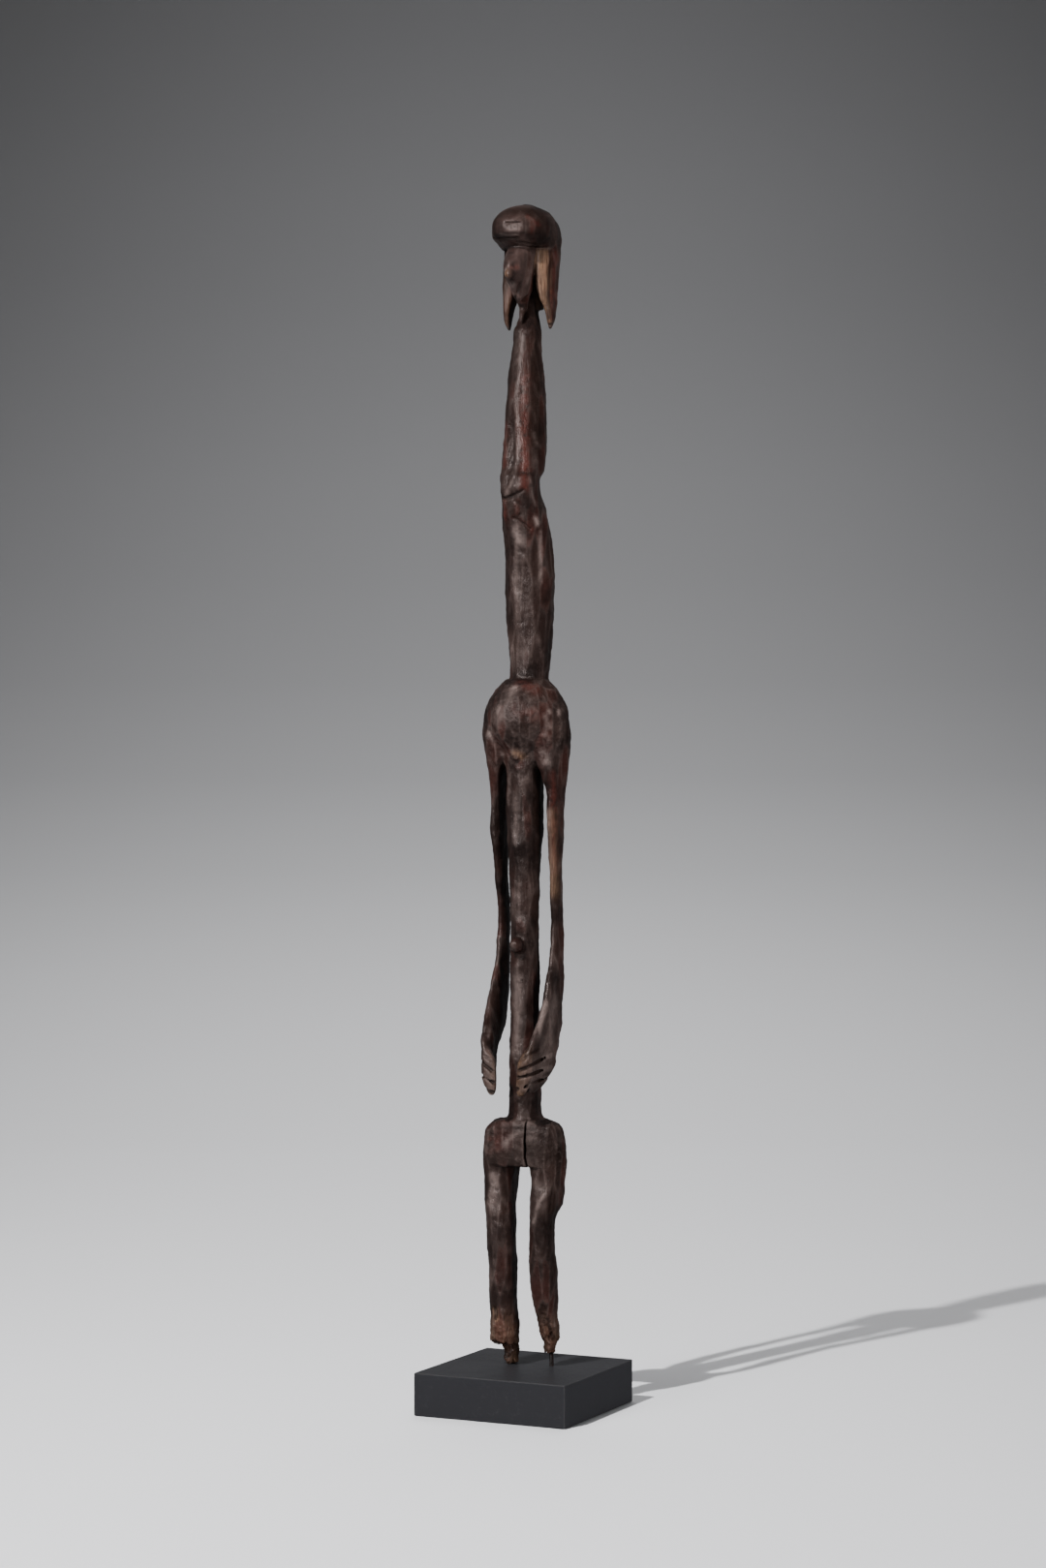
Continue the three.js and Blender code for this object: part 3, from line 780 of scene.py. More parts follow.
def carve_arm(wood, side):
    wood.add(Form(ARM, side), blend=2)
    wood.add(Form(ARM_WEB, side), blend=1.5)
    wood.add(Form(BENT_FINGERS, side), blend=1.5)
    for n, heights in enumerate(LEFT_GROOVES if side > 0 else RIGHT_GROOVES):
        points = [((x - n * GROOVE_INSET) * side, y + n * GROOVE_BACKSET, height)
                  for (x, y), height in zip(GROOVE_PLAN, heights) if height is not None]
        radii = np.linspace(GROOVE_STARTS[side], GROOVE_END, len(points))
        wood.cut(Cord(points, radii), blend=1.1)
        wood.creases.append(Cord(points, 0.7))


def carve_legs(wood):
    left = Form(LEFT_LEG)
    right = Form(RIGHT_LEG, -1)
    wood.add(left, blend=1)
    wood.add(right, blend=1)
    wood.add(Form(RIGHT_HEEL, -1), blend=1.5)
    groove(wood, left, THIGH_GROOVE, radius=1.6, depth=1)
    ridge(wood, left, KNEE_EDGE, radius=3, height=0.6)
    groove(wood, right, SHIN_NOTCH, radius=1.8, depth=1.8)
    groove(wood, right, RIGHT_FOOT_LINE, radius=1.6, depth=1.2)
    groove(wood, left, LEFT_FOOT_LINE, radius=1.2, depth=1.2)


def spaced(stations):
    """Grid lines from (place, spacing) pairs. The last pair only ends the line."""
    lines = []
    for (start, step), (end, _) in zip(stations, stations[1:]):
        lines.append(np.linspace(start, end, max(int(round((end - start) / step)), 1), endpoint=False))
    return np.append(np.concatenate(lines), stations[-1][0])


def carving_grid(scale):
    """Grid lines in millimetres: finest at the head, the hands, the fold, the crack and the feet."""
    x = spaced([(-46, 1.15 * scale), (7, 0.6 * scale), (14, 1.15 * scale), (46, 0)])
    y = spaced([(-46, 1.15 * scale), (49, 0)])
    z = spaced([(36, scale), (104, 1.5 * scale), (214, 1.1 * scale), (269, 1.6 * scale), (281, scale),
                (345, 1.7 * scale), (584, 1.2 * scale), (668, 1.8 * scale), (795, 1.2 * scale),
                (866, 1.8 * scale), (982, 0.95 * scale), (1101, 0)])
    return [x, y, z]


def carved_wood(scale):
    wood = Wood(carving_grid(scale))
    carve_neck(wood)
    carve_head(wood)
    carve_shoulders(wood)
    for side in (1, -1):
        carve_arm(wood, side)
    wood.add(Form(HIPS), blend=1.2)
    carve_legs(wood)
    wood.cut(Form(HIP_CRACK), blend=0.4)
    return wood


# Meshes and node trees
def mesh_object(name, mesh):
    piece = bpy.data.objects.new(name, mesh)
    bpy.context.scene.collection.objects.link(piece)
    return piece


def feed(node, inputs):
    """Gives a node's inputs, by name or number, a plain value or the output that a signal stands for."""
    for name, value in inputs.items():
        if isinstance(value, Signal):
            node.id_data.links.new(value.socket, node.inputs[name])
        else:
            node.inputs[name].default_value = value


def add_node(tree, kind, inputs=None, **settings):
    node = tree.nodes.new(kind)
    for name, value in settings.items():
        setattr(node, name, value)
    feed(node, inputs or {})
    return node


def output(tree, kind, inputs=None, name=0, **settings):
    """Adds a node and returns one of its outputs."""
    return Signal(add_node(tree, kind, inputs, **settings).outputs[name])


class Signal:
    """A node's output, on which Math nodes are written with +, -, *, / and **."""

    def __init__(self, socket):
        self.socket = socket

    def math(self, operation, *rest):
        tree = self.socket.id_data
        return output(tree, "ShaderNodeMath", dict(enumerate((self, *rest))), operation=operation)

    def vector(self, operation, *rest):
        tree = self.socket.id_data
        return output(tree, "ShaderNodeVectorMath", dict(enumerate((self, *rest))), operation=operation)

    def along(self, normal):
        """The normal at this length."""
        tree = self.socket.id_data
        return output(tree, "ShaderNodeVectorMath", {0: normal, "Scale": self}, operation="SCALE")

    def times_plus(self, factor, more):
        return self.math("MULTIPLY_ADD", factor, more)

    def clamped(self):
        """Keeps the last Math node's result between 0 and 1."""
        self.socket.node.use_clamp = True
        return self

    def parts(self):
        """The three numbers of a vector."""
        node = add_node(self.socket.id_data, "ShaderNodeSeparateXYZ", {0: self})
        return [Signal(socket) for socket in node.outputs]

    def __add__(self, other):
        return self.math("ADD", other)

    def __sub__(self, other):
        return self.math("SUBTRACT", other)

    def __mul__(self, other):
        return self.math("MULTIPLY", other)

    def __truediv__(self, other):
        return self.math("DIVIDE", other)

    def __pow__(self, other):
        return self.math("POWER", other)

    def __rsub__(self, number):
        return output(self.socket.id_data, "ShaderNodeMath", {0: number, 1: self}, operation="SUBTRACT")

    def __rtruediv__(self, number):
        return output(self.socket.id_data, "ShaderNodeMath", {0: number, 1: self}, operation="DIVIDE")


def triple(tree, x, y, z):
    return output(tree, "ShaderNodeCombineXYZ", {0: x, 1: y, 2: z})


def noise(tree, place, scale, detail=2.0, roughness=0.5):
    """Plain noise from 0 to 1, with its middle at 0.5."""
    inputs = {"Vector": place, "Scale": scale, "Detail": detail, "Roughness": roughness}
    return output(tree, "ShaderNodeTexNoise", inputs, noise_dimensions="3D")


SOCKET_TYPES = {
    "Geometry": "NodeSocketGeometry", "Material": "NodeSocketMaterial", "Vector": "NodeSocketVector",
    float: "NodeSocketFloat", int: "NodeSocketInt", tuple: "NodeSocketVector",
}


def new_tree(name, kind, inputs, outputs):
    """A node group, its inputs by name and its end. A socket's type is its name's or its default's."""
    tree = bpy.data.node_groups.new(name, kind)
    for label, default in inputs.items():
        socket_type = SOCKET_TYPES.get(label) or SOCKET_TYPES[type(default)]
        socket = tree.interface.new_socket(name=label, in_out="INPUT", socket_type=socket_type)
        if default is not None:
            socket.default_value = default
    for label in outputs:
        socket_type = SOCKET_TYPES.get(label, "NodeSocketFloat")
        tree.interface.new_socket(name=label, in_out="OUTPUT", socket_type=socket_type)
    given = tree.nodes.new("NodeGroupInput")
    made = tree.nodes.new("NodeGroupOutput")
    return tree, {label: Signal(given.outputs[label]) for label in inputs}, made


def stroke_cells(tree, given, place):
    """Where a place lies among the knife strokes' cells, counted in cells and moved by the seed."""
    counted = stretched(tree, place, given["Stroke Width"], given["Stroke Length"])
    return counted.vector("ADD", triple(tree, given["Seed"], given["Seed"], given["Seed"]))


def stretched(tree, place, size_across, size_along):
    """Coordinates counted in cells that are as wide and as long as the two sizes say."""
    across = 1.0 / size_across
    return place.vector("MULTIPLY", triple(tree, across, across, 1.0 / size_along))


def finish_tree(tree, geometry, given, made):
    """Ends a geometry tree: instances become real, and everything gets the material."""
    real = output(tree, "GeometryNodeRealizeInstances", {0: geometry})
    feed(made, {0: output(
        tree, "GeometryNodeSetMaterial", {"Geometry": real, "Material": given["Material"]})})


# Over how much height the rot sets in below its upper limit, and how many pits a metre holds across and
# along the grain
ROT_FADE = 0.045
ROT_GRAIN = (230.0, 230.0, 95.0)


def knife_tree():
    """Geometry nodes: flat knife strokes all over the wood, and rot that eats the lowest end."""
    tree, given, made = new_tree("Knife strokes", "GeometryNodeTree", {
        "Geometry": None, "Stroke Width": 0.009, "Stroke Length": 0.04, "Stroke Depth": 0.0018,
        "Unevenness": 0.0005, "Rot Height": 0.1, "Rot Depth": 0.003, "Seed": 3.0, "Material": None,
    }, ["Geometry"])
    place = output(tree, "GeometryNodeInputPosition")
    cells = output(
        tree, "ShaderNodeTexVoronoi", {"Scale": 1.0, "Vector": stroke_cells(tree, given, place)},
        "Distance", feature="F1", voronoi_dimensions="3D")
    strokes = (cells ** 2.0 - 0.3) * given["Stroke Depth"]
    uneven = (noise(tree, place, 85.0, 4.0, 0.62) - 0.5) * given["Unevenness"]
    care = output(tree, "GeometryNodeInputNamedAttribute", {"Name": "rough_hewn"}, data_type="FLOAT")
    hewn = (strokes + uneven) * care

    low = ((given["Rot Height"] - place.parts()[2]) / ROT_FADE).clamped()
    pits = noise(tree, place.vector("MULTIPLY", ROT_GRAIN), 1.0, 4.0, 0.6)
    eaten = ((pits - 0.42) * low).math("MAXIMUM", -0.04) * given["Rot Depth"]
    height = hewn - eaten * 4.0
    normal = output(tree, "GeometryNodeInputNormal")
    moved = output(
        tree, "GeometryNodeSetPosition", {"Geometry": given["Geometry"], "Offset": height.along(normal)})
    finish_tree(tree, moved, given, made)
    return tree


def block_tree():
    """Geometry nodes: a block with rounded edges, a little uneven, as sanded and painted by hand."""
    tree, given, made = new_tree("Painted block", "GeometryNodeTree", {
        "Geometry": None, "Half Width": 0.075, "Half Height": 0.0195, "Middle Height": 0.0195,
        "Edge Radius": 0.0012, "Edge Dents": 0.0006, "Rows": 48, "Material": None,
    }, ["Geometry"])
    rows = {"Vertices " + axis: given["Rows"] for axis in "XYZ"}
    cube = output(tree, "GeometryNodeMeshCube", {"Size": (2.0, 2.0, 2.0), **rows}, "Mesh")
    halves = triple(tree, given["Half Width"], given["Half Width"], given["Half Height"])
    crowded = []
    for unit in output(tree, "GeometryNodeInputPosition").parts():
        gap = (1.0 - unit.math("ABSOLUTE")) ** 2.0
        crowded.append(unit.math("SIGN") * (1.0 - gap))
    outer = triple(tree, *crowded).vector("MULTIPLY", halves)
    radius = given["Edge Radius"]
    inner = halves.vector("SUBTRACT", triple(tree, radius, radius, radius))
    core = outer.vector("MINIMUM", inner).vector("MAXIMUM", inner.vector("MULTIPLY", (-1.0, -1.0, -1.0)))
    away = outer.vector("SUBTRACT", core).vector("NORMALIZE")

    dent = (noise(tree, outer, 130.0, 3.0) - 0.55).clamped() * 6.0
    steep = away.vector("ABSOLUTE").parts()
    flatness = steep[0].math("MAXIMUM", steep[1].math("MAXIMUM", steep[2]))
    on_edge = ((1.0 - flatness) * 3.4).clamped()
    reach = radius - dent * on_edge * given["Edge Dents"]
    place = core.vector("ADD", reach.along(away))
    place = place.vector("ADD", triple(tree, 0.0, 0.0, given["Middle Height"]))

    marked = cube
    for name, mask in (("rubbed", on_edge), ("upward", away.parts()[2])):
        marked = output(
            tree, "GeometryNodeStoreNamedAttribute", {"Geometry": marked, "Name": name, "Value": mask},
            data_type="FLOAT", domain="POINT")
    shaped = output(tree, "GeometryNodeSetPosition", {"Geometry": marked, "Position": place})
    finish_tree(tree, output(tree, "GeometryNodeSetShadeSmooth", {0: shaped}), given, made)
    return tree


def pin_tree():
    """Geometry nodes: a short steel rod, a little bent and scaled with rust."""
    tree, given, made = new_tree("Steel pin", "GeometryNodeTree", {
        "Geometry": None, "Foot": (0.0, 0.0, 0.0), "Head": (0.0, 0.0, 0.01), "Radius": 0.002,
        "Rust": 0.0003, "Bend": 0.0004, "Rings": 26, "Sides": 28, "Material": None,
    }, ["Geometry"])
    line = output(tree, "GeometryNodeCurvePrimitiveLine", {"Start": given["Foot"], "End": given["Head"]})
    rings = output(tree, "GeometryNodeResampleCurve", {"Curve": line, "Count": given["Rings"]})
    along = output(tree, "GeometryNodeSplineParameter")
    bow = (along * math.pi).math("SINE") * given["Bend"]
    bent = output(
        tree, "GeometryNodeSetPosition", {"Geometry": rings, "Offset": triple(tree, bow, 0.0, 0.0)})
    circle = output(
        tree, "GeometryNodeCurvePrimitiveCircle",
        {"Resolution": given["Sides"], "Radius": given["Radius"]}, "Curve")
    sweep = output(
        tree, "GeometryNodeCurveToMesh", {"Curve": bent, "Profile Curve": circle, "Fill Caps": True})
    place = output(tree, "GeometryNodeInputPosition")
    swell = (noise(tree, place, 700.0, 3.0) - 0.6) * given["Rust"]
    outward = swell.along(output(tree, "GeometryNodeInputNormal"))
    rusty = output(tree, "GeometryNodeSetPosition", {"Geometry": sweep, "Offset": outward})
    finish_tree(tree, output(tree, "GeometryNodeSetShadeSmooth", {0: rusty}), given, made)
    return tree


def grown(piece, tree, values):
    """Runs a geometry tree on a piece with these inputs, and leaves its result as a plain mesh."""
    modifier = piece.modifiers.new(tree.name, "NODES")
    modifier.node_group = tree
    inputs = [item for item in tree.interface.items_tree if item.in_out == "INPUT"]
    identifiers = {item.name: item.identifier for item in inputs}
    for name, value in values.items():
        modifier[identifiers[name]] = value
    made_plain(piece, modifier)


def made_plain(piece, modifier):
    """Keeps what a piece's modifier makes of it as its mesh, and takes the modifier off."""
    bpy.context.view_layer.update()
    evaluated = piece.evaluated_get(bpy.context.evaluated_depsgraph_get())
    mesh = bpy.data.meshes.new_from_object(evaluated)
    piece.modifiers.remove(modifier)
    old = piece.data
    piece.data = mesh
    mesh.name = piece.name
    bpy.data.meshes.remove(old)


# Shader groups
def facet_group():
    """The knife strokes' own tones and worn rims, in step with the strokes of the geometry tree."""
    tree, given, made = new_tree("Facet tones", "ShaderNodeTree", {
        "Vector": None, "Stroke Width": 0.009, "Stroke Length": 0.04, "Seed": 3.0, "Rim": 0.16,
    }, ["Tone", "Rim"])
    inputs = {"Scale": 1.0, "Vector": stroke_cells(tree, given, given["Vector"])}
    cells, rims = (
        output(tree, "ShaderNodeTexVoronoi", inputs, name, feature=feature, voronoi_dimensions="3D")
        for name, feature in (("Color", "F1"), ("Distance", "DISTANCE_TO_EDGE")))
    feed(made, {
        "Tone": output(tree, "ShaderNodeSeparateColor", {0: cells}),
        "Rim": 1.0 - (rims / given["Rim"]).clamped(),
    })
    return tree


def grain_group():
    """Long grain, and the thin drying checks that follow it."""
    tree, given, made = new_tree("Wood grain", "ShaderNodeTree", {
        "Vector": None, "Grain Width": 0.0016, "Grain Length": 0.03, "Check Share": 0.42,
    }, ["Grain", "Checks"])
    place = stretched(tree, given["Vector"], given["Grain Width"], given["Grain Length"])
    off_middle = (noise(tree, place, 0.33) - 0.5).math("ABSOLUTE")
    thin = (1.0 - off_middle / 0.012).clamped()
    some = ((given["Check Share"] - noise(tree, given["Vector"], 34.0)) * 12.0).clamped()
    feed(made, {"Grain": noise(tree, place, 1.0, 5.0, 0.62), "Checks": thin * some})
    return tree


def patch_group():
    """Broad uneven patches and small specks, as handling and dust leave them."""
    tree, given, made = new_tree("Handled patches", "ShaderNodeTree", {
        "Vector": None, "Patch Scale": 30.0, "Speck Scale": 420.0, "Pit Scale": 170.0,
    }, ["Patches", "Specks", "Pits"])
    place = given["Vector"]
    feed(made, {
        "Patches": noise(tree, place, given["Patch Scale"], 4.0, 0.6).times_plus(3.2, -1.1).clamped(),
        "Specks": noise(tree, place, given["Speck Scale"], 3.0).times_plus(5.0, -2.9).clamped(),
        "Pits": noise(tree, place, given["Pit Scale"], 3.0, 0.6),
    })
    return tree


def shared_groups():
    """The shader groups that the materials share, built once."""
    makers = {"Facet tones": facet_group, "Wood grain": grain_group, "Handled patches": patch_group}
    return [bpy.data.node_groups.get(name) or make() for name, make in makers.items()]


def group_outputs(tree, group, place, **values):
    """Places a shader group, with its sizes written with _ for a space, and returns its outputs."""
    sizes = {name.replace("_", " "): value for name, value in values.items()}
    node = add_node(tree, "ShaderNodeGroup", node_tree=group)
    feed(node, {"Vector": place, **sizes})
    return {socket.name: Signal(socket) for socket in node.outputs}


def colour_mix(share, first, second):
    """A colour Mix node between two colours, each a signal or plain."""
    sides = [side if isinstance(side, Signal) else (*side[:3], 1.0) for side in (first, second)]
    inputs = {0: share, 6: sides[0], 7: sides[1]}
    return output(share.socket.id_data, "ShaderNodeMix", inputs, 2, data_type="RGBA")


# Materials
def new_material(name, colour):
    material = bpy.data.materials.new(name)
    material.use_nodes = True
    material.diffuse_color = (*colour[:3], 1.0)
    tree = material.node_tree
    shader = next(node for node in tree.nodes if node.type == "BSDF_PRINCIPLED")
    return material, tree, shader, output(tree, "ShaderNodeTexCoord", name="Object")


def mask_attribute(tree, name):
    return output(tree, "ShaderNodeAttribute", name="Fac", attribute_name=name)


def add_bump(tree, shader, height, distance, strength):
    inputs = {"Height": height, "Distance": distance, "Strength": strength}
    feed(shader, {"Normal": output(tree, "ShaderNodeBump", inputs)})


def wood_material(sizes, colours):
    material, tree, shader, place = new_material("Dark carved wood", colours.deep)
    facet_tree, grain_tree, patch_tree = shared_groups()
    facets = group_outputs(
        tree, facet_tree, place, Stroke_Width=sizes.stroke_width, Stroke_Length=sizes.stroke_length,
        Seed=float(sizes.seed))
    grain = group_outputs(tree, grain_tree, place)
    patches = group_outputs(tree, patch_tree, place, Patch_Scale=26.0)
    names = ("shade_and_dirt", "raised", "bare_and_highlight", "ruddy_and_shade", "pale_and_highlight", "pitted")
    shade_and_dirt, raised, bare_and_highlight, ruddy_and_shade, pale_and_highlight, pitted = (mask_attribute(tree, name) for name in names)
    tone = facets["Tone"]
    spread = patches["Patches"]
    blotch = patches["Pits"].times_plus(4.0, -1.2).clamped()

    # Nearly black ground, brown patches, some strokes lighter and some redder, and the red paints the
    # shade under the jaw
    base = colour_mix(spread, colours.deep, colours.brown)
    light = ((tone - 0.7) * 3.0).clamped() * spread ** 2.0
    base = colour_mix(light * 0.3, base, colours.wear_and_highlight)
    odd = ((0.34 - tone) * 5.0).clamped()
    red = (odd * (spread * 0.45) + ruddy_and_shade * blotch).clamped()
    base = colour_mix(red, base, colours.red)

    # Worn rims and raised places, more where the fibres stand up, then painted highlights and pale worn
    # spots
    wear_and_highlight = facets["Rim"] * (spread * 0.22) + raised * 0.3
    wear_and_highlight = wear_and_highlight * grain["Grain"].times_plus(1.2, 0.2)
    wear_and_highlight = (wear_and_highlight + pale_and_highlight * blotch.times_plus(0.6, 0.3)).clamped()
    base = colour_mix(wear_and_highlight, base, colours.wear_and_highlight)

    # Bare striped wood with a painted highlight on the nose tip, then painted shade in hollows and dirt in
    # the checks, then dust
    stripes = colour_mix(
        grain["Grain"].times_plus(3.0, -1.0).clamped(), colours.raw_dark, colours.bare_and_highlight)
    bare = (bare_and_highlight * spread.times_plus(0.9, 0.4)).clamped()
    base = colour_mix(bare, base, stripes)
    base = colour_mix(shade_and_dirt * 0.85, base, colours.shade_and_dirt)
    base = colour_mix(grain["Checks"] * 0.8, base, colours.shade_and_dirt)
    dust = patches["Pits"].times_plus(4.0, -2.3).clamped() * pitted
    dust = patches["Specks"].times_plus(0.2, dust)
    base = colour_mix((dust * 0.3).clamped(), base, colours.wear_and_highlight)

    rough = spread.times_plus(0.14, 0.25)
    for share, amount in ((grain["Grain"], 0.12), (bare, 0.14), (pitted, 0.13), (shade_and_dirt, 0.2)):
        rough = share.times_plus(amount, rough)
    feed(shader, {"Base Color": base, "Roughness": rough.clamped()})
    shader.inputs["Specular IOR Level"].default_value = 0.21
    shader.inputs["Specular Tint"].default_value = (1.0, 0.86, 0.84, 1.0)
    relief = patches["Specks"].times_plus(0.3, grain["Grain"] - grain["Checks"])
    relief = (patches["Pits"] * pitted).times_plus(2.6, relief)
    add_bump(tree, shader, relief, 0.0009, 0.5)
    return material


def paint_material(colours):
    material, tree, shader, place = new_material("Black paint", colours.paint)
    _, grain_tree, patch_tree = shared_groups()
    patches = group_outputs(tree, patch_tree, place, Patch_Scale=14.0, Speck_Scale=260.0)
    grain = group_outputs(tree, grain_tree, place, Grain_Width=0.012, Grain_Length=0.002)
    base = colour_mix(patches["Specks"] * 0.16, colours.paint, colours.paint_dust_and_sheen)
    # Rubbed edges get the dust colour, and so do the upward faces a little: dust, and a painted sheen that
    # lightens the top.
    for mask, share in (("rubbed", 0.35), ("upward", 0.05)):
        base = colour_mix(mask_attribute(tree, mask) * share, base, colours.paint_dust_and_sheen)
    rough = patches["Specks"].times_plus(0.12, patches["Patches"].times_plus(0.1, 0.27))
    feed(shader, {"Base Color": base, "Roughness": rough})
    shader.inputs["Specular IOR Level"].default_value = 0.05
    add_bump(tree, shader, patches["Specks"].times_plus(0.5, grain["Grain"]), 0.0002, 0.35)
    return material


def steel_material(colours):
    material, tree, shader, place = new_material("Dark steel", colours.steel)
    patches = group_outputs(tree, shared_groups()[2], place, Patch_Scale=300.0, Speck_Scale=1500.0)
    spread = patches["Patches"]
    feed(shader, {
        "Base Color": colour_mix(spread, colours.steel, colours.rust),
        "Roughness": spread.times_plus(0.3, 0.45),
        "Metallic": spread.times_plus(-0.6, 0.6).clamped(),
    })
    add_bump(tree, shader, patches["Specks"], 0.0002, 0.5)
    return material


# Masks that the wood's colours follow. Heights in millimetres over which each begins, or begins and ends.
HEAD_START = (986, 992)
BRIM_START = (1052, 1062)
HAND_BAND = (FINGER_TIPS - 4, FINGER_TIPS + 2), (332, 342)
SHOULDER_BAND = (572, 590), (655, 668)
HIP_BAND = (215, 228), (258, 272)
PITTED_FEET_END = (70, 100)
BARE_FEET_END = (66, 98)


def near_places(points, places, size):
    """1 at any of the places, falling away to nothing over about the given size."""
    value = np.zeros(len(points))
    for place in places:
        away = ((points - np.array(place)) ** 2).sum(axis=1)
        value = np.maximum(value, np.exp(-away / size ** 2))
    return value


def close_to(points, cord, margin):
    """Which points lie in a cord's box, widened by a margin."""
    near = (points > cord.points.min(axis=0) - margin).all(axis=1)
    return near & (points < cord.points.max(axis=0) + margin).all(axis=1)


def ease(value, low, high):
    """0 up to the low value, 1 from the high one, and a smooth rise between."""
    t = np.clip((value - low) / (high - low), 0, 1)
    return t * t * (3 - 2 * t)


def band(value, start, end):
    """1 between two limits, each the pair of values over which it fades."""
    return ease(value, *start) * (1 - ease(value, *end))


def carving_masks(wood, points):
    """How rough, raised, bare, red and worn the wood is at each point, and where shade and highlights are
    painted on it.
    """
    # Painted shade where other wood is near outside, and along the grooves. Raised where the wood behind
    # is thin.
    slope = wood.slope(points)
    normal = slope / np.maximum(np.linalg.norm(slope, axis=1), 1e-6)[:, None]
    open_out = wood.sample(points + normal * 3.6)
    deep_in = wood.sample(points - normal * 2.2)
    wide_out = wood.sample(points + normal * 8)
    shade_and_dirt = np.maximum(ease(3.4 - open_out, 0.2, 2.4), 0.6 * ease(7.4 - wide_out, 1, 6))
    for crease in wood.creases:
        near = close_to(points, crease, 6)
        x, y, z = points[near].T
        shade_and_dirt[near] = np.maximum(shade_and_dirt[near], 0.8 - 0.8 * ease(crease.distance(x, y, z), 0, 1.7))
    raised = ease(deep_in + 2.1, 0.3, 1.5)

    # The parts that are cut finer than the rest, and the bands that are pitted
    x, y, z = points.T
    beside = np.abs(x)
    front = ease(-normal[:, 1], 0.2, 0.8)
    hand = band(z, *HAND_BAND)
    head = ease(z, *HEAD_START)
    face = head * (1 - ease(beside, 12, 15)) * ease(-y, 2, 8)
    crack = near_places(points, [(9.8, -20, height) for height in range(222, 266, 6)], 7)
    rough = 1 - 0.75 * np.maximum.reduce([face, hand * ease(-y, 20, 32), crack])
    rough = rough * (1 - 0.35 * head)
    pitted = band(z, *SHOULDER_BAND) + band(z, *HIP_BAND)
    pitted = np.maximum(0.12 + 0.88 * pitted, 0.8 * (1 - ease(z, *PITTED_FEET_END)))

    # Bare wood on the flaps of the cap, the fingers and the feet, and a painted highlight on the nose tip
    flap = band(z, HEAD_START, BRIM_START) * ease(beside + 0.2 * y, 9, 10.5) * ease(y, -8.5, -7) * front
    # The near flap's tan stops where its outer side turns into shade, so that side's darkness is painted
    # shade.
    flap *= 1 - ease(0.9 * beside + 0.43 * y, 22.6, 25.4)
    flap *= np.where(x > 0, 1, 0.4 - 0.3 * ease(z, 1008, 1022))
    fingers = hand * ease(-y, 35, 40) * (1 - 0.7 * ease(beside, 14, 24)) * np.where(x > 0, 1, 0.3)
    feet = 1 - ease(z, *BARE_FEET_END)
    # A painted highlight on the nose tip.
    nose = near_places(points, [(-2.5, -36, 1031)], 3.8)
    bare_and_highlight = np.maximum.reduce([0.52 * flap, 0.34 * fingers, 0.2 * feet, 0.8 * nose])

    # The face gets a little red, and a little painted light that lifts it out of the brim's shade.
    masks = {"shade_and_dirt": shade_and_dirt, "bare_and_highlight": bare_and_highlight, "ruddy_and_shade": 0.15 * face, "pale_and_highlight": 0.12 * face}
    for mask, rows, side, strokes in STROKES:
        for width, strength, *path in strokes:
            line = Cord(marks(Form(rows, side), zip(path[::2], path[1::2]), 0), 0.01)
            near = close_to(points, line, 3 * width)
            away = line.distance(*points[near].T)
            masks[mask][near] = np.maximum(masks[mask][near], strength * np.exp(-(away / width) ** 2))
    return {"rough_hewn": rough, "raised": raised, "pitted": pitted, **masks}


# The pieces
def carved_mesh(scale):
    wood = carved_wood(scale)
    points, faces = skin(wood)
    points = settled(wood, points, faces)
    masks = carving_masks(wood, points)
    mesh = bpy.data.meshes.new("Carved figure")
    mesh.vertices.add(len(points))
    mesh.vertices.foreach_set("co", (points * MM).astype(np.float32).ravel())
    mesh.loops.add(faces.size)
    mesh.loops.foreach_set("vertex_index", faces.astype(np.int32).ravel())
    mesh.polygons.add(len(faces))
    mesh.polygons.foreach_set("loop_start", np.arange(0, faces.size, 4, dtype=np.int32))
    mesh.polygons.foreach_set("use_smooth", np.ones(len(faces), dtype=bool))
    mesh.update(calc_edges=True)
    for name, values in masks.items():
        attribute = mesh.attributes.new(name, "FLOAT", "POINT")
        attribute.data.foreach_set("value", np.clip(values, 0, 1).astype(np.float32))
    return mesh


def thinned(piece, most):
    """Brings a piece's triangles under a number, and shades it smooth."""
    triangles = sum(len(polygon.vertices) - 2 for polygon in piece.data.polygons)
    if triangles > most:
        modifier = piece.modifiers.new("Thin", "DECIMATE")
        modifier.ratio = most / triangles
        made_plain(piece, modifier)
    piece.data.polygons.foreach_set("use_smooth", np.ones(len(piece.data.polygons), dtype=bool))


def placed(piece, node):
    """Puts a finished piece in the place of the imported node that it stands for."""
    if len(piece.data.polygons) == 0:
        raise RuntimeError(piece.name + " came out empty")
    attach(piece, "root")
    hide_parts(node)


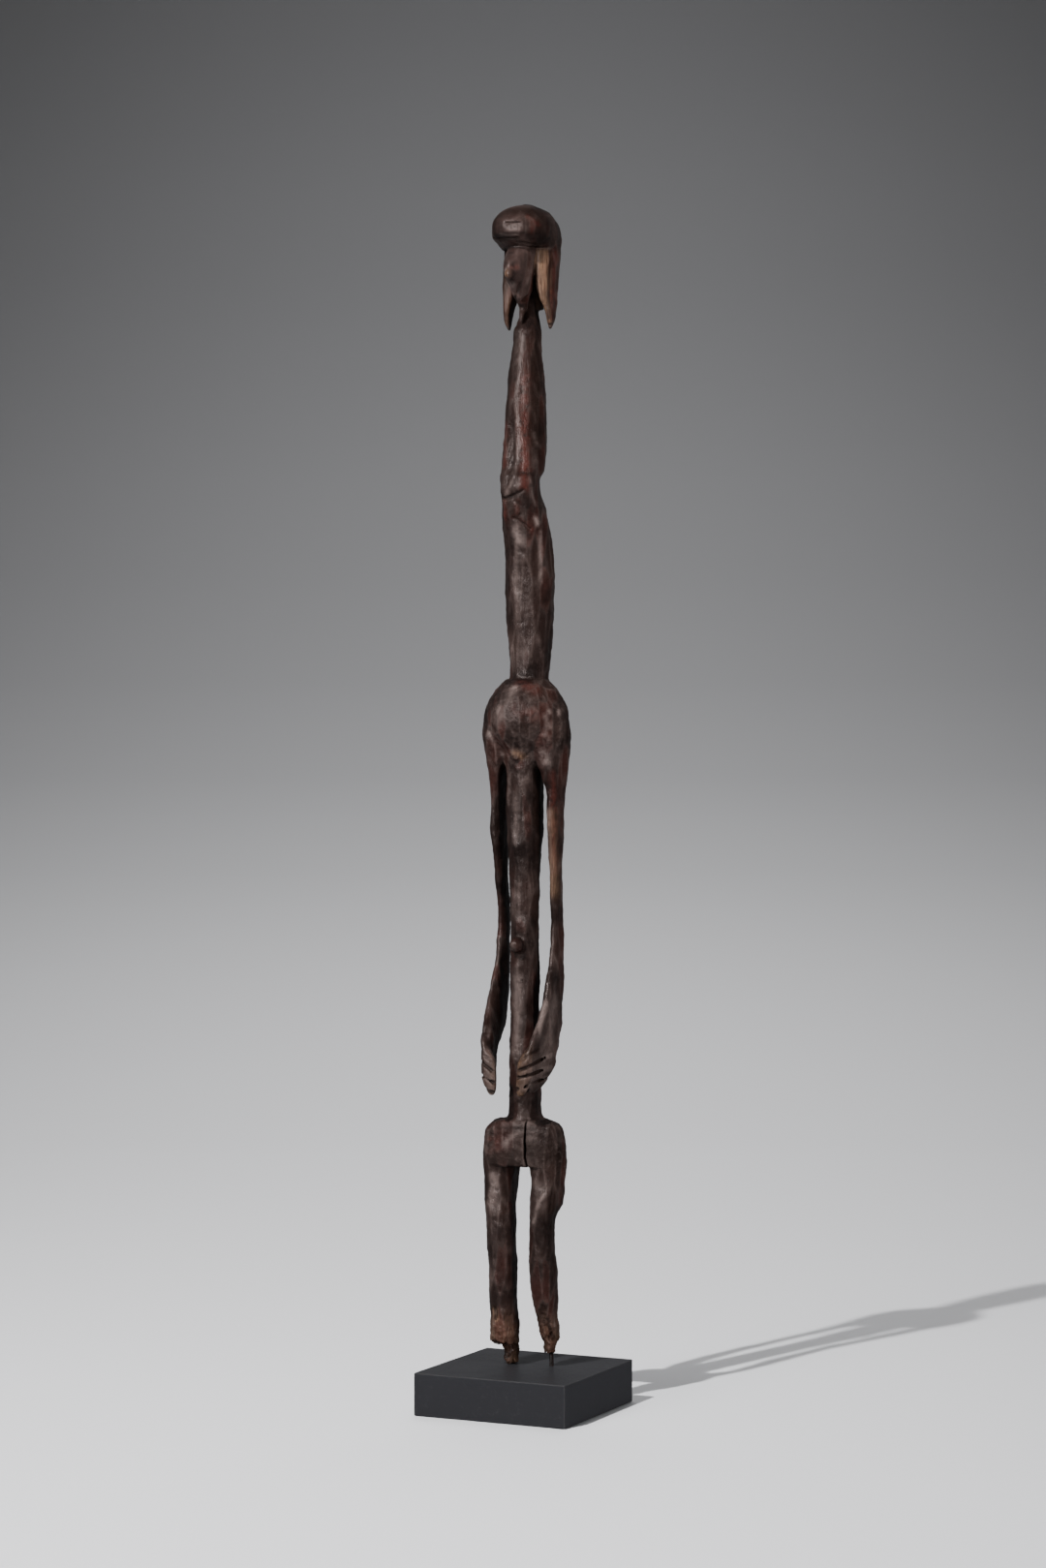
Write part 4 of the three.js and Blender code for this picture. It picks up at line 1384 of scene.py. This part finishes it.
class CarvingSizes(bpy.types.PropertyGroup):
    stroke_width: bpy.props.FloatProperty(
        name="Stroke width", description="Width of one knife stroke", default=0.0095, min=0.003,
        unit="LENGTH")
    stroke_length: bpy.props.FloatProperty(
        name="Stroke length", description="Length of one knife stroke along the grain", default=0.04,
        min=0.005, unit="LENGTH")
    stroke_depth: bpy.props.FloatProperty(
        name="Stroke depth", description="How far a stroke's rim stands over its middle", default=0.0019,
        min=0.0, max=0.009, unit="LENGTH")
    unevenness: bpy.props.FloatProperty(
        name="Unevenness", description="Height of the small waves between strokes", default=0.003,
        min=0.0, max=0.009, unit="LENGTH")
    rot_height: bpy.props.FloatProperty(
        name="Rot height", description="Height over the floor up to which the feet are eaten away",
        default=0.1, min=0.0, unit="LENGTH")
    rot_depth: bpy.props.FloatProperty(
        name="Rot depth", description="Depth of the pits in the eaten feet", default=0.003, min=0.0,
        max=0.006, unit="LENGTH")
    seed: bpy.props.IntProperty(
        name="Seed", description="Which pattern of strokes is carved", default=3, min=0, max=99)
    most_triangles: bpy.props.IntProperty(
        name="Most triangles", description="The figure is thinned down to this many", default=192000,
        min=2000, max=198000)


class WoodColours(bpy.types.PropertyGroup):
    deep: bpy.props.FloatVectorProperty(
        name="Deep", description="Nearly black ground of the wood", subtype="COLOR", size=3, min=0, max=1,
        default=(0.0045, 0.0027, 0.0024))
    brown: bpy.props.FloatVectorProperty(
        name="Brown", description="Handled brown patches", subtype="COLOR", size=3, min=0, max=1,
        default=(0.0125, 0.0066, 0.0053))
    # Also paints the shade under the jaw.
    red: bpy.props.FloatVectorProperty(
        name="Red", description="Dark red-brown strokes", subtype="COLOR", size=3, min=0, max=1,
        default=(0.03, 0.0078, 0.0058))
    # The same grey-brown paints the highlights.
    wear_and_highlight: bpy.props.FloatVectorProperty(
        name="Worn", description="Grey-brown of worn rims and dust", subtype="COLOR", size=3, min=0,
        max=1, default=(0.1, 0.0745, 0.067))
    # Also paints the highlight on the nose tip.
    bare_and_highlight: bpy.props.FloatVectorProperty(
        name="Bare wood", description="Tan wood where the patina is gone", subtype="COLOR", size=3,
        min=0, max=1, default=(0.19, 0.115, 0.07))
    raw_dark: bpy.props.FloatVectorProperty(
        name="Bare wood, dark", description="Darker grain of the bare wood", subtype="COLOR", size=3,
        min=0, max=1, default=(0.05, 0.022, 0.012))
    # Dirt in the checks. The same colour paints shade in hollows, in creases and along the dark strokes.
    shade_and_dirt: bpy.props.FloatVectorProperty(
        name="Hollow", description="Dirt in hollows and checks", subtype="COLOR", size=3, min=0, max=1,
        default=(0.006, 0.003, 0.0022))
    paint: bpy.props.FloatVectorProperty(
        name="Paint", description="Black paint of the block", subtype="COLOR", size=3, min=0, max=1,
        default=(0.0145, 0.0145, 0.0162))
    # Also a painted sheen that lightens the block's top.
    paint_dust_and_sheen: bpy.props.FloatVectorProperty(
        name="Paint dust", description="Dust and rubbed edges of the block", subtype="COLOR", size=3,
        min=0, max=1, default=(0.042, 0.04, 0.038))
    steel: bpy.props.FloatVectorProperty(
        name="Steel", description="Darkened steel of the pin", subtype="COLOR", size=3, min=0, max=1,
        default=(0.006, 0.005, 0.005))
    rust: bpy.props.FloatVectorProperty(
        name="Rust", description="Brown scale on the pin", subtype="COLOR", size=3, min=0, max=1,
        default=(0.01, 0.005, 0.004))


class BlockSizes(bpy.types.PropertyGroup):
    edge_radius: bpy.props.FloatProperty(
        name="Edge radius", description="Rounding of the block's edges", default=0.0013, min=0.0003,
        unit="LENGTH")
    edge_dents: bpy.props.FloatProperty(
        name="Edge dents", description="Wood lost in the knocks along the edges", default=0.0005,
        min=0.0, max=0.002, unit="LENGTH")
    pin_bend: bpy.props.FloatProperty(
        name="Pin bend", description="How far the pin's middle bows out", default=0.0004, min=0.0,
        max=0.002, unit="LENGTH")
    pin_rust: bpy.props.FloatProperty(
        name="Pin rust", description="Height of the rust on the pin", default=0.0003, min=0.0,
        max=0.001, unit="LENGTH")


class StageSettings(bpy.types.PropertyGroup):
    floor_reach: bpy.props.FloatProperty(
        name="Flat floor", description="How far the flat floor reaches", default=1.6, min=0.5,
        unit="LENGTH")
    wall_reach: bpy.props.FloatProperty(
        name="Wall", description="How far off the wall stands", default=6.2, min=2.0, unit="LENGTH")
    wall_height: bpy.props.FloatProperty(
        name="Wall height", description="How high the wall stands", default=3.8, min=1.0,
        unit="LENGTH")
    key_power: bpy.props.FloatProperty(
        name="Key light", description="Power of the small light in front", default=220.0, min=0.0,
        unit="POWER")
    key_turn: bpy.props.FloatProperty(
        name="Key turn", description="Turn of the key light about the figure, from its front",
        default=math.radians(-14.0), subtype="ANGLE")
    key_rise: bpy.props.FloatProperty(
        name="Key rise", description="Rise of the key light over the floor",
        default=math.radians(44.5), subtype="ANGLE")
    key_size: bpy.props.FloatProperty(
        name="Key size", description="Width of the key light", default=0.06, min=0.02, unit="LENGTH")
    front_power: bpy.props.FloatProperty(
        name="Front light", description="Power of the large soft light low in front", default=95.0,
        min=0.0, unit="POWER")
    gleam_power: bpy.props.FloatProperty(
        name="Gleam", description="Power of the small light that gives the wood its highlights",
        default=230.0, min=0.0, unit="POWER")
    sky: bpy.props.FloatProperty(
        name="Soft light", description="Strength of the even light from above", default=0.12, min=0.0)
    top_power: bpy.props.FloatProperty(
        name="Top light", description="Power of the large soft light overhead", default=110.0, min=0.0,
        unit="POWER")
    side_power: bpy.props.FloatProperty(
        name="Side light", description="Power of the large soft light on the figure's left",
        default=225.0, min=0.0, unit="POWER")
    back_power: bpy.props.FloatProperty(
        name="Back light", description="Power of the large soft light behind the figure",
        default=110.0, min=0.0, unit="POWER")


class CARVEDFIGURE_OT_figure(bpy.types.Operator):
    """Carve the wooden figure"""

    bl_idname = "carvedfigure.figure"
    bl_label = "Wooden Figure"
    bl_options = {"REGISTER", "UNDO"}

    def execute(self, context):
        sizes = context.scene.carved_figure_sizes
        colours = context.scene.carved_figure_colours
        piece = mesh_object("carved_figure", carved_mesh(1.0))
        grown(piece, knife_tree(), {
            "Stroke Width": sizes.stroke_width,
            "Stroke Length": sizes.stroke_length,
            "Stroke Depth": sizes.stroke_depth,
            "Unevenness": sizes.unevenness,
            "Rot Height": sizes.rot_height,
            "Rot Depth": sizes.rot_depth,
            "Seed": float(sizes.seed),
            "Material": wood_material(sizes, colours),
        })
        thinned(piece, sizes.most_triangles)
        placed(piece, "figure")
        return {"FINISHED"}


class CARVEDFIGURE_OT_block(bpy.types.Operator):
    """Make the square black block"""

    bl_idname = "carvedfigure.block"
    bl_label = "Block"
    bl_options = {"REGISTER", "UNDO"}

    def execute(self, context):
        sizes = context.scene.carved_figure_block
        half_width = (BLOCK_HIGH.x - BLOCK_LOW.x) / 2
        half_height = (BLOCK_HIGH.z - BLOCK_LOW.z) / 2
        piece = mesh_object("black_block", bpy.data.meshes.new("Black block"))
        grown(piece, block_tree(), {
            "Half Width": half_width,
            "Half Height": half_height,
            "Middle Height": BLOCK_LOW.z + half_height,
            "Edge Radius": sizes.edge_radius,
            "Edge Dents": sizes.edge_dents,
            "Rows": 64,
            "Material": paint_material(context.scene.carved_figure_colours),
        })
        placed(piece, "plinth")
        return {"FINISHED"}


# How far the pin leans at each end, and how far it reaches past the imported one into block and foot
PIN_LEAN = 0.0006
PIN_SUNK = 0.0008
PIN_REACH = 0.006


class CARVEDFIGURE_OT_pin(bpy.types.Operator):
    """Make the steel pin between the block and the left foot"""

    bl_idname = "carvedfigure.pin"
    bl_label = "Pin"
    bl_options = {"REGISTER", "UNDO"}

    def execute(self, context):
        sizes = context.scene.carved_figure_block
        across = (PIN_LOW.x + PIN_HIGH.x) / 2
        deep = (PIN_LOW.y + PIN_HIGH.y) / 2
        piece = mesh_object("steel_pin", bpy.data.meshes.new("Steel pin"))
        grown(piece, pin_tree(), {
            "Foot": (across + PIN_LEAN, deep, PIN_LOW.z - PIN_SUNK),
            "Head": (across - PIN_LEAN, deep, PIN_HIGH.z + PIN_REACH),
            "Radius": (PIN_HIGH.x - PIN_LOW.x) / 2,
            "Rust": sizes.pin_rust,
            "Bend": sizes.pin_bend,
            "Material": steel_material(context.scene.carved_figure_colours),
        })
        placed(piece, "mounting_pin")
        return {"FINISHED"}


# What the lights aim at, and their colours
MIDDLE = (0.0, 0.0, 0.55)
LOW = (0.0, 0.0, 0.2)
WARM = (1.0, 0.985, 0.965)
COOL = (0.99, 0.99, 1.0)


def in_front(turn, rise, reach):
    """A place by its turn from the figure's front, its rise over the middle and how far off it is."""
    flat = reach * math.cos(rise)
    return (flat * math.sin(turn), -flat * math.cos(turn), MIDDLE[2] + reach * math.sin(rise))


def aim(thing, target):
    direction = np.array(target) - np.array(thing.location)
    flat = math.hypot(direction[0], direction[1])
    thing.rotation_euler = (
        math.pi / 2 + math.atan2(direction[2], flat), 0, math.atan2(-direction[0], direction[1]))


def soft_light(name, place, target, size, power, colour):
    lamp = bpy.data.lights.new(name, "AREA")
    lamp.shape = "DISK"
    lamp.size = size
    lamp.energy = power
    lamp.color = colour
    thing = bpy.data.objects.new(name, lamp)
    thing.location = place
    thing.visible_camera = False
    aim(thing, target)
    bpy.context.scene.collection.objects.link(thing)
    return thing


# The backdrop: rings of its flat floor and of its curve, sides of each ring, and the curve's share of the
# wall's height
FLOOR_RINGS = 6
CURVE_RINGS = 24
RING_SIDES = 96
CURVE_SHARE = 0.8

# The paper's painted light dims over the first of these distances to the sides, from the second one on
# nearer than the figure, and never below the share that comes last
DIM_ASIDE = 1.9
DIM_FROM = 1.0
DIMMEST = 0.55

# Paper tones of the backdrop, darker with height as a painted falloff of the light: (height in metres,
# grey), and how much bluer than grey they are
PAPER_BLUE = 1.02
BACKDROP_PAINTED_FALLOFF = [
    (0.0, 0.65), (0.02, 0.615), (0.08, 0.58), (0.2, 0.505), (0.36, 0.395), (0.55, 0.308), (0.76, 0.268),
    (1.0, 0.25), (1.25, 0.243), (1.5, 0.23), (1.8, 0.215), (2.05, 0.208), (2.57, 0.18)]


def backdrop_mesh(settings):
    """A round floor that curves up into a wall."""
    rise = settings.wall_height * CURVE_SHARE
    profile = [(settings.floor_reach * k / FLOOR_RINGS, 0.0) for k in range(FLOOR_RINGS + 1)]
    for k in range(1, CURVE_RINGS + 1):
        turn = math.pi / 2 * k / CURVE_RINGS
        profile.append((
            settings.floor_reach + (settings.wall_reach - settings.floor_reach) * math.sin(turn),
            rise * (1 - math.cos(turn))))
    profile.append((settings.wall_reach, settings.wall_height))
    sides = RING_SIDES
    points = [(0.0, 0.0, 0.0)]
    for reach, height in profile[1:]:
        for side in range(sides):
            turn = 2 * math.pi * side / sides
            points.append((reach * math.cos(turn), reach * math.sin(turn), height))
    faces = [(0, 1 + side, 1 + (side + 1) % sides) for side in range(sides)]
    for ring in range(len(profile) - 2):
        for side in range(sides):
            start = 1 + ring * sides
            after = (side + 1) % sides
            faces.append((start + side, start + sides + side, start + sides + after, start + after))
    mesh = bpy.data.meshes.new("Backdrop")
    mesh.from_pydata(points, [], faces)
    for polygon in mesh.polygons:
        polygon.use_smooth = True
    return mesh


def backdrop_material():
    """Paper whose tone paints the falloff of the light: it follows its height, and dims to both sides and
    nearer than the figure.
    """
    material, tree, shader, place = new_material("Pale paper", (0.8, 0.8, 0.8))
    cosine = math.cos(CAMERA_TURN)
    sine = math.sin(CAMERA_TURN)
    aside, beyond = (
        output(tree, "ShaderNodeVectorMath", {0: place, 1: direction}, "Value", operation="DOT_PRODUCT")
        for direction in ((cosine, sine, 0.0), (-sine, cosine, 0.0)))
    nearer = (-DIM_FROM - beyond).math("MAXIMUM", 0.0) ** 2.0
    falloff = (1.0 / ((aside / DIM_ASIDE) ** 2.0 + nearer + 1.0)).math("MAXIMUM", DIMMEST)
    top = BACKDROP_PAINTED_FALLOFF[-1][0]
    ramp = add_node(tree, "ShaderNodeValToRGB", {0: (place.parts()[2] / top).clamped()})
    tone = colour_mix(falloff, (0.0, 0.0, 0.0), Signal(ramp.outputs[0]))
    feed(shader, {"Base Color": tone})
    shader.inputs["Roughness"].default_value = 0.9
    shader.inputs["Specular IOR Level"].default_value = 0.1
    stops = ramp.color_ramp.elements
    stops[0].position = 0.0
    stops[1].position = 1.0
    for level, grey in BACKDROP_PAINTED_FALLOFF:
        position = level / top
        if position == 0.0:
            stop = stops[0]
        elif position == 1.0:
            stop = stops[len(stops) - 1]
        else:
            stop = stops.new(position)
        stop.color = (grey, grey, grey * PAPER_BLUE, 1.0)
    return material


class CARVEDFIGURE_OT_stage(bpy.types.Operator):
    """Set up the pale floor, the studio light and the camera"""

    bl_idname = "carvedfigure.stage"
    bl_label = "Studio"
    bl_options = {"REGISTER", "UNDO"}

    def execute(self, context):
        settings = context.scene.carved_figure_stage
        backdrop = mesh_object("Backdrop", backdrop_mesh(settings))
        backdrop.data.materials.append(backdrop_material())
        backdrop.visible_glossy = False
        spared = bpy.data.collections.new("Spared by the fill lights")
        spared.objects.link(backdrop)
        spared.collection_objects[0].light_linking.link_state = "EXCLUDE"

        world = context.scene.world or bpy.data.worlds.new("Studio")
        context.scene.world = world
        world.use_nodes = True
        sky = next(node for node in world.node_tree.nodes if node.type == "BACKGROUND")
        sky.inputs[0].default_value = (0.96, 0.98, 1.0, 1.0)
        sky.inputs[1].default_value = settings.sky

        turn = settings.key_turn
        gleam = soft_light("Gleam", in_front(math.radians(-12), math.radians(21.5), 3.6), MIDDLE, 0.34,
                           settings.gleam_power, WARM)
        gleam.visible_diffuse = False
        for name, spot, target, size, power, on_floor in (
            ("Key light", in_front(turn, settings.key_rise, 3.0), MIDDLE, settings.key_size,
             settings.key_power, True),
            ("Front light", in_front(turn, math.radians(5), 3.6), LOW, 1.2, settings.front_power, True),
            ("Top light", (-0.9, 2.1, 3.6), (-0.9, 2.1, 0.0), 3.0, settings.top_power, True),
            ("Side light", (3.6, -0.7, 1.2), MIDDLE, 1.8, settings.side_power, False),
            ("Back light", (-1.5, 3.0, 1.9), MIDDLE, 2.4, settings.back_power, False),
        ):
            lamp = soft_light(name, spot, target, size, power, COOL)
            lamp.visible_glossy = False
            if not on_floor:
                lamp.light_linking.receiver_collection = spared

        camera_data = bpy.data.cameras.new("Camera")
        camera_data.lens = CAMERA_LENS
        camera_data.sensor_width = 36.0
        camera_data.shift_y = CAMERA_SHIFT
        camera_data.clip_end = 60.0
        camera = bpy.data.objects.new("Camera", camera_data)
        camera.location = (
            CAMERA_REACH * math.sin(CAMERA_TURN), -CAMERA_REACH * math.cos(CAMERA_TURN), CAMERA_HEIGHT)
        aside = (PHOTO_AXIS - PHOTO_WIDTH / 2) / PHOTO_FOCUS
        camera.rotation_euler = (math.pi / 2, 0.0, CAMERA_TURN + aside)
        context.scene.collection.objects.link(camera)
        context.scene.camera = camera
        return {"FINISHED"}


class CARVEDFIGURE_PT_panel(bpy.types.Panel):
    """Pieces and settings of the carved figure"""

    bl_idname = "CARVEDFIGURE_PT_panel"
    bl_label = "Carved Figure"
    bl_space_type = "VIEW_3D"
    bl_region_type = "UI"
    bl_category = "Carved Figure"

    def draw(self, context):
        scene = context.scene
        for operator in OPERATORS:
            self.layout.operator(operator.bl_idname)
        for settings in (scene.carved_figure_sizes, scene.carved_figure_colours,
                         scene.carved_figure_block, scene.carved_figure_stage):
            box = self.layout.box()
            for name in settings.__annotations__:
                box.prop(settings, name)


OPERATORS = (CARVEDFIGURE_OT_figure, CARVEDFIGURE_OT_block, CARVEDFIGURE_OT_pin, CARVEDFIGURE_OT_stage)
SETTINGS = {
    "carved_figure_sizes": CarvingSizes,
    "carved_figure_colours": WoodColours,
    "carved_figure_block": BlockSizes,
    "carved_figure_stage": StageSettings,
}


def register():
    for settings in SETTINGS.values():
        bpy.utils.register_class(settings)
    for operator in OPERATORS:
        bpy.utils.register_class(operator)
    bpy.utils.register_class(CARVEDFIGURE_PT_panel)
    for name, settings in SETTINGS.items():
        setattr(bpy.types.Scene, name, bpy.props.PointerProperty(type=settings))


def unregister():
    for name in SETTINGS:
        delattr(bpy.types.Scene, name)
    bpy.utils.unregister_class(CARVEDFIGURE_PT_panel)
    for operator in reversed(OPERATORS):
        bpy.utils.unregister_class(operator)
    for settings in reversed(SETTINGS.values()):
        bpy.utils.unregister_class(settings)


def main():
    register()
    bpy.ops.carvedfigure.figure()
    bpy.ops.carvedfigure.block()
    bpy.ops.carvedfigure.pin()
    bpy.ops.carvedfigure.stage()


if __name__ == "__main__":
    main()
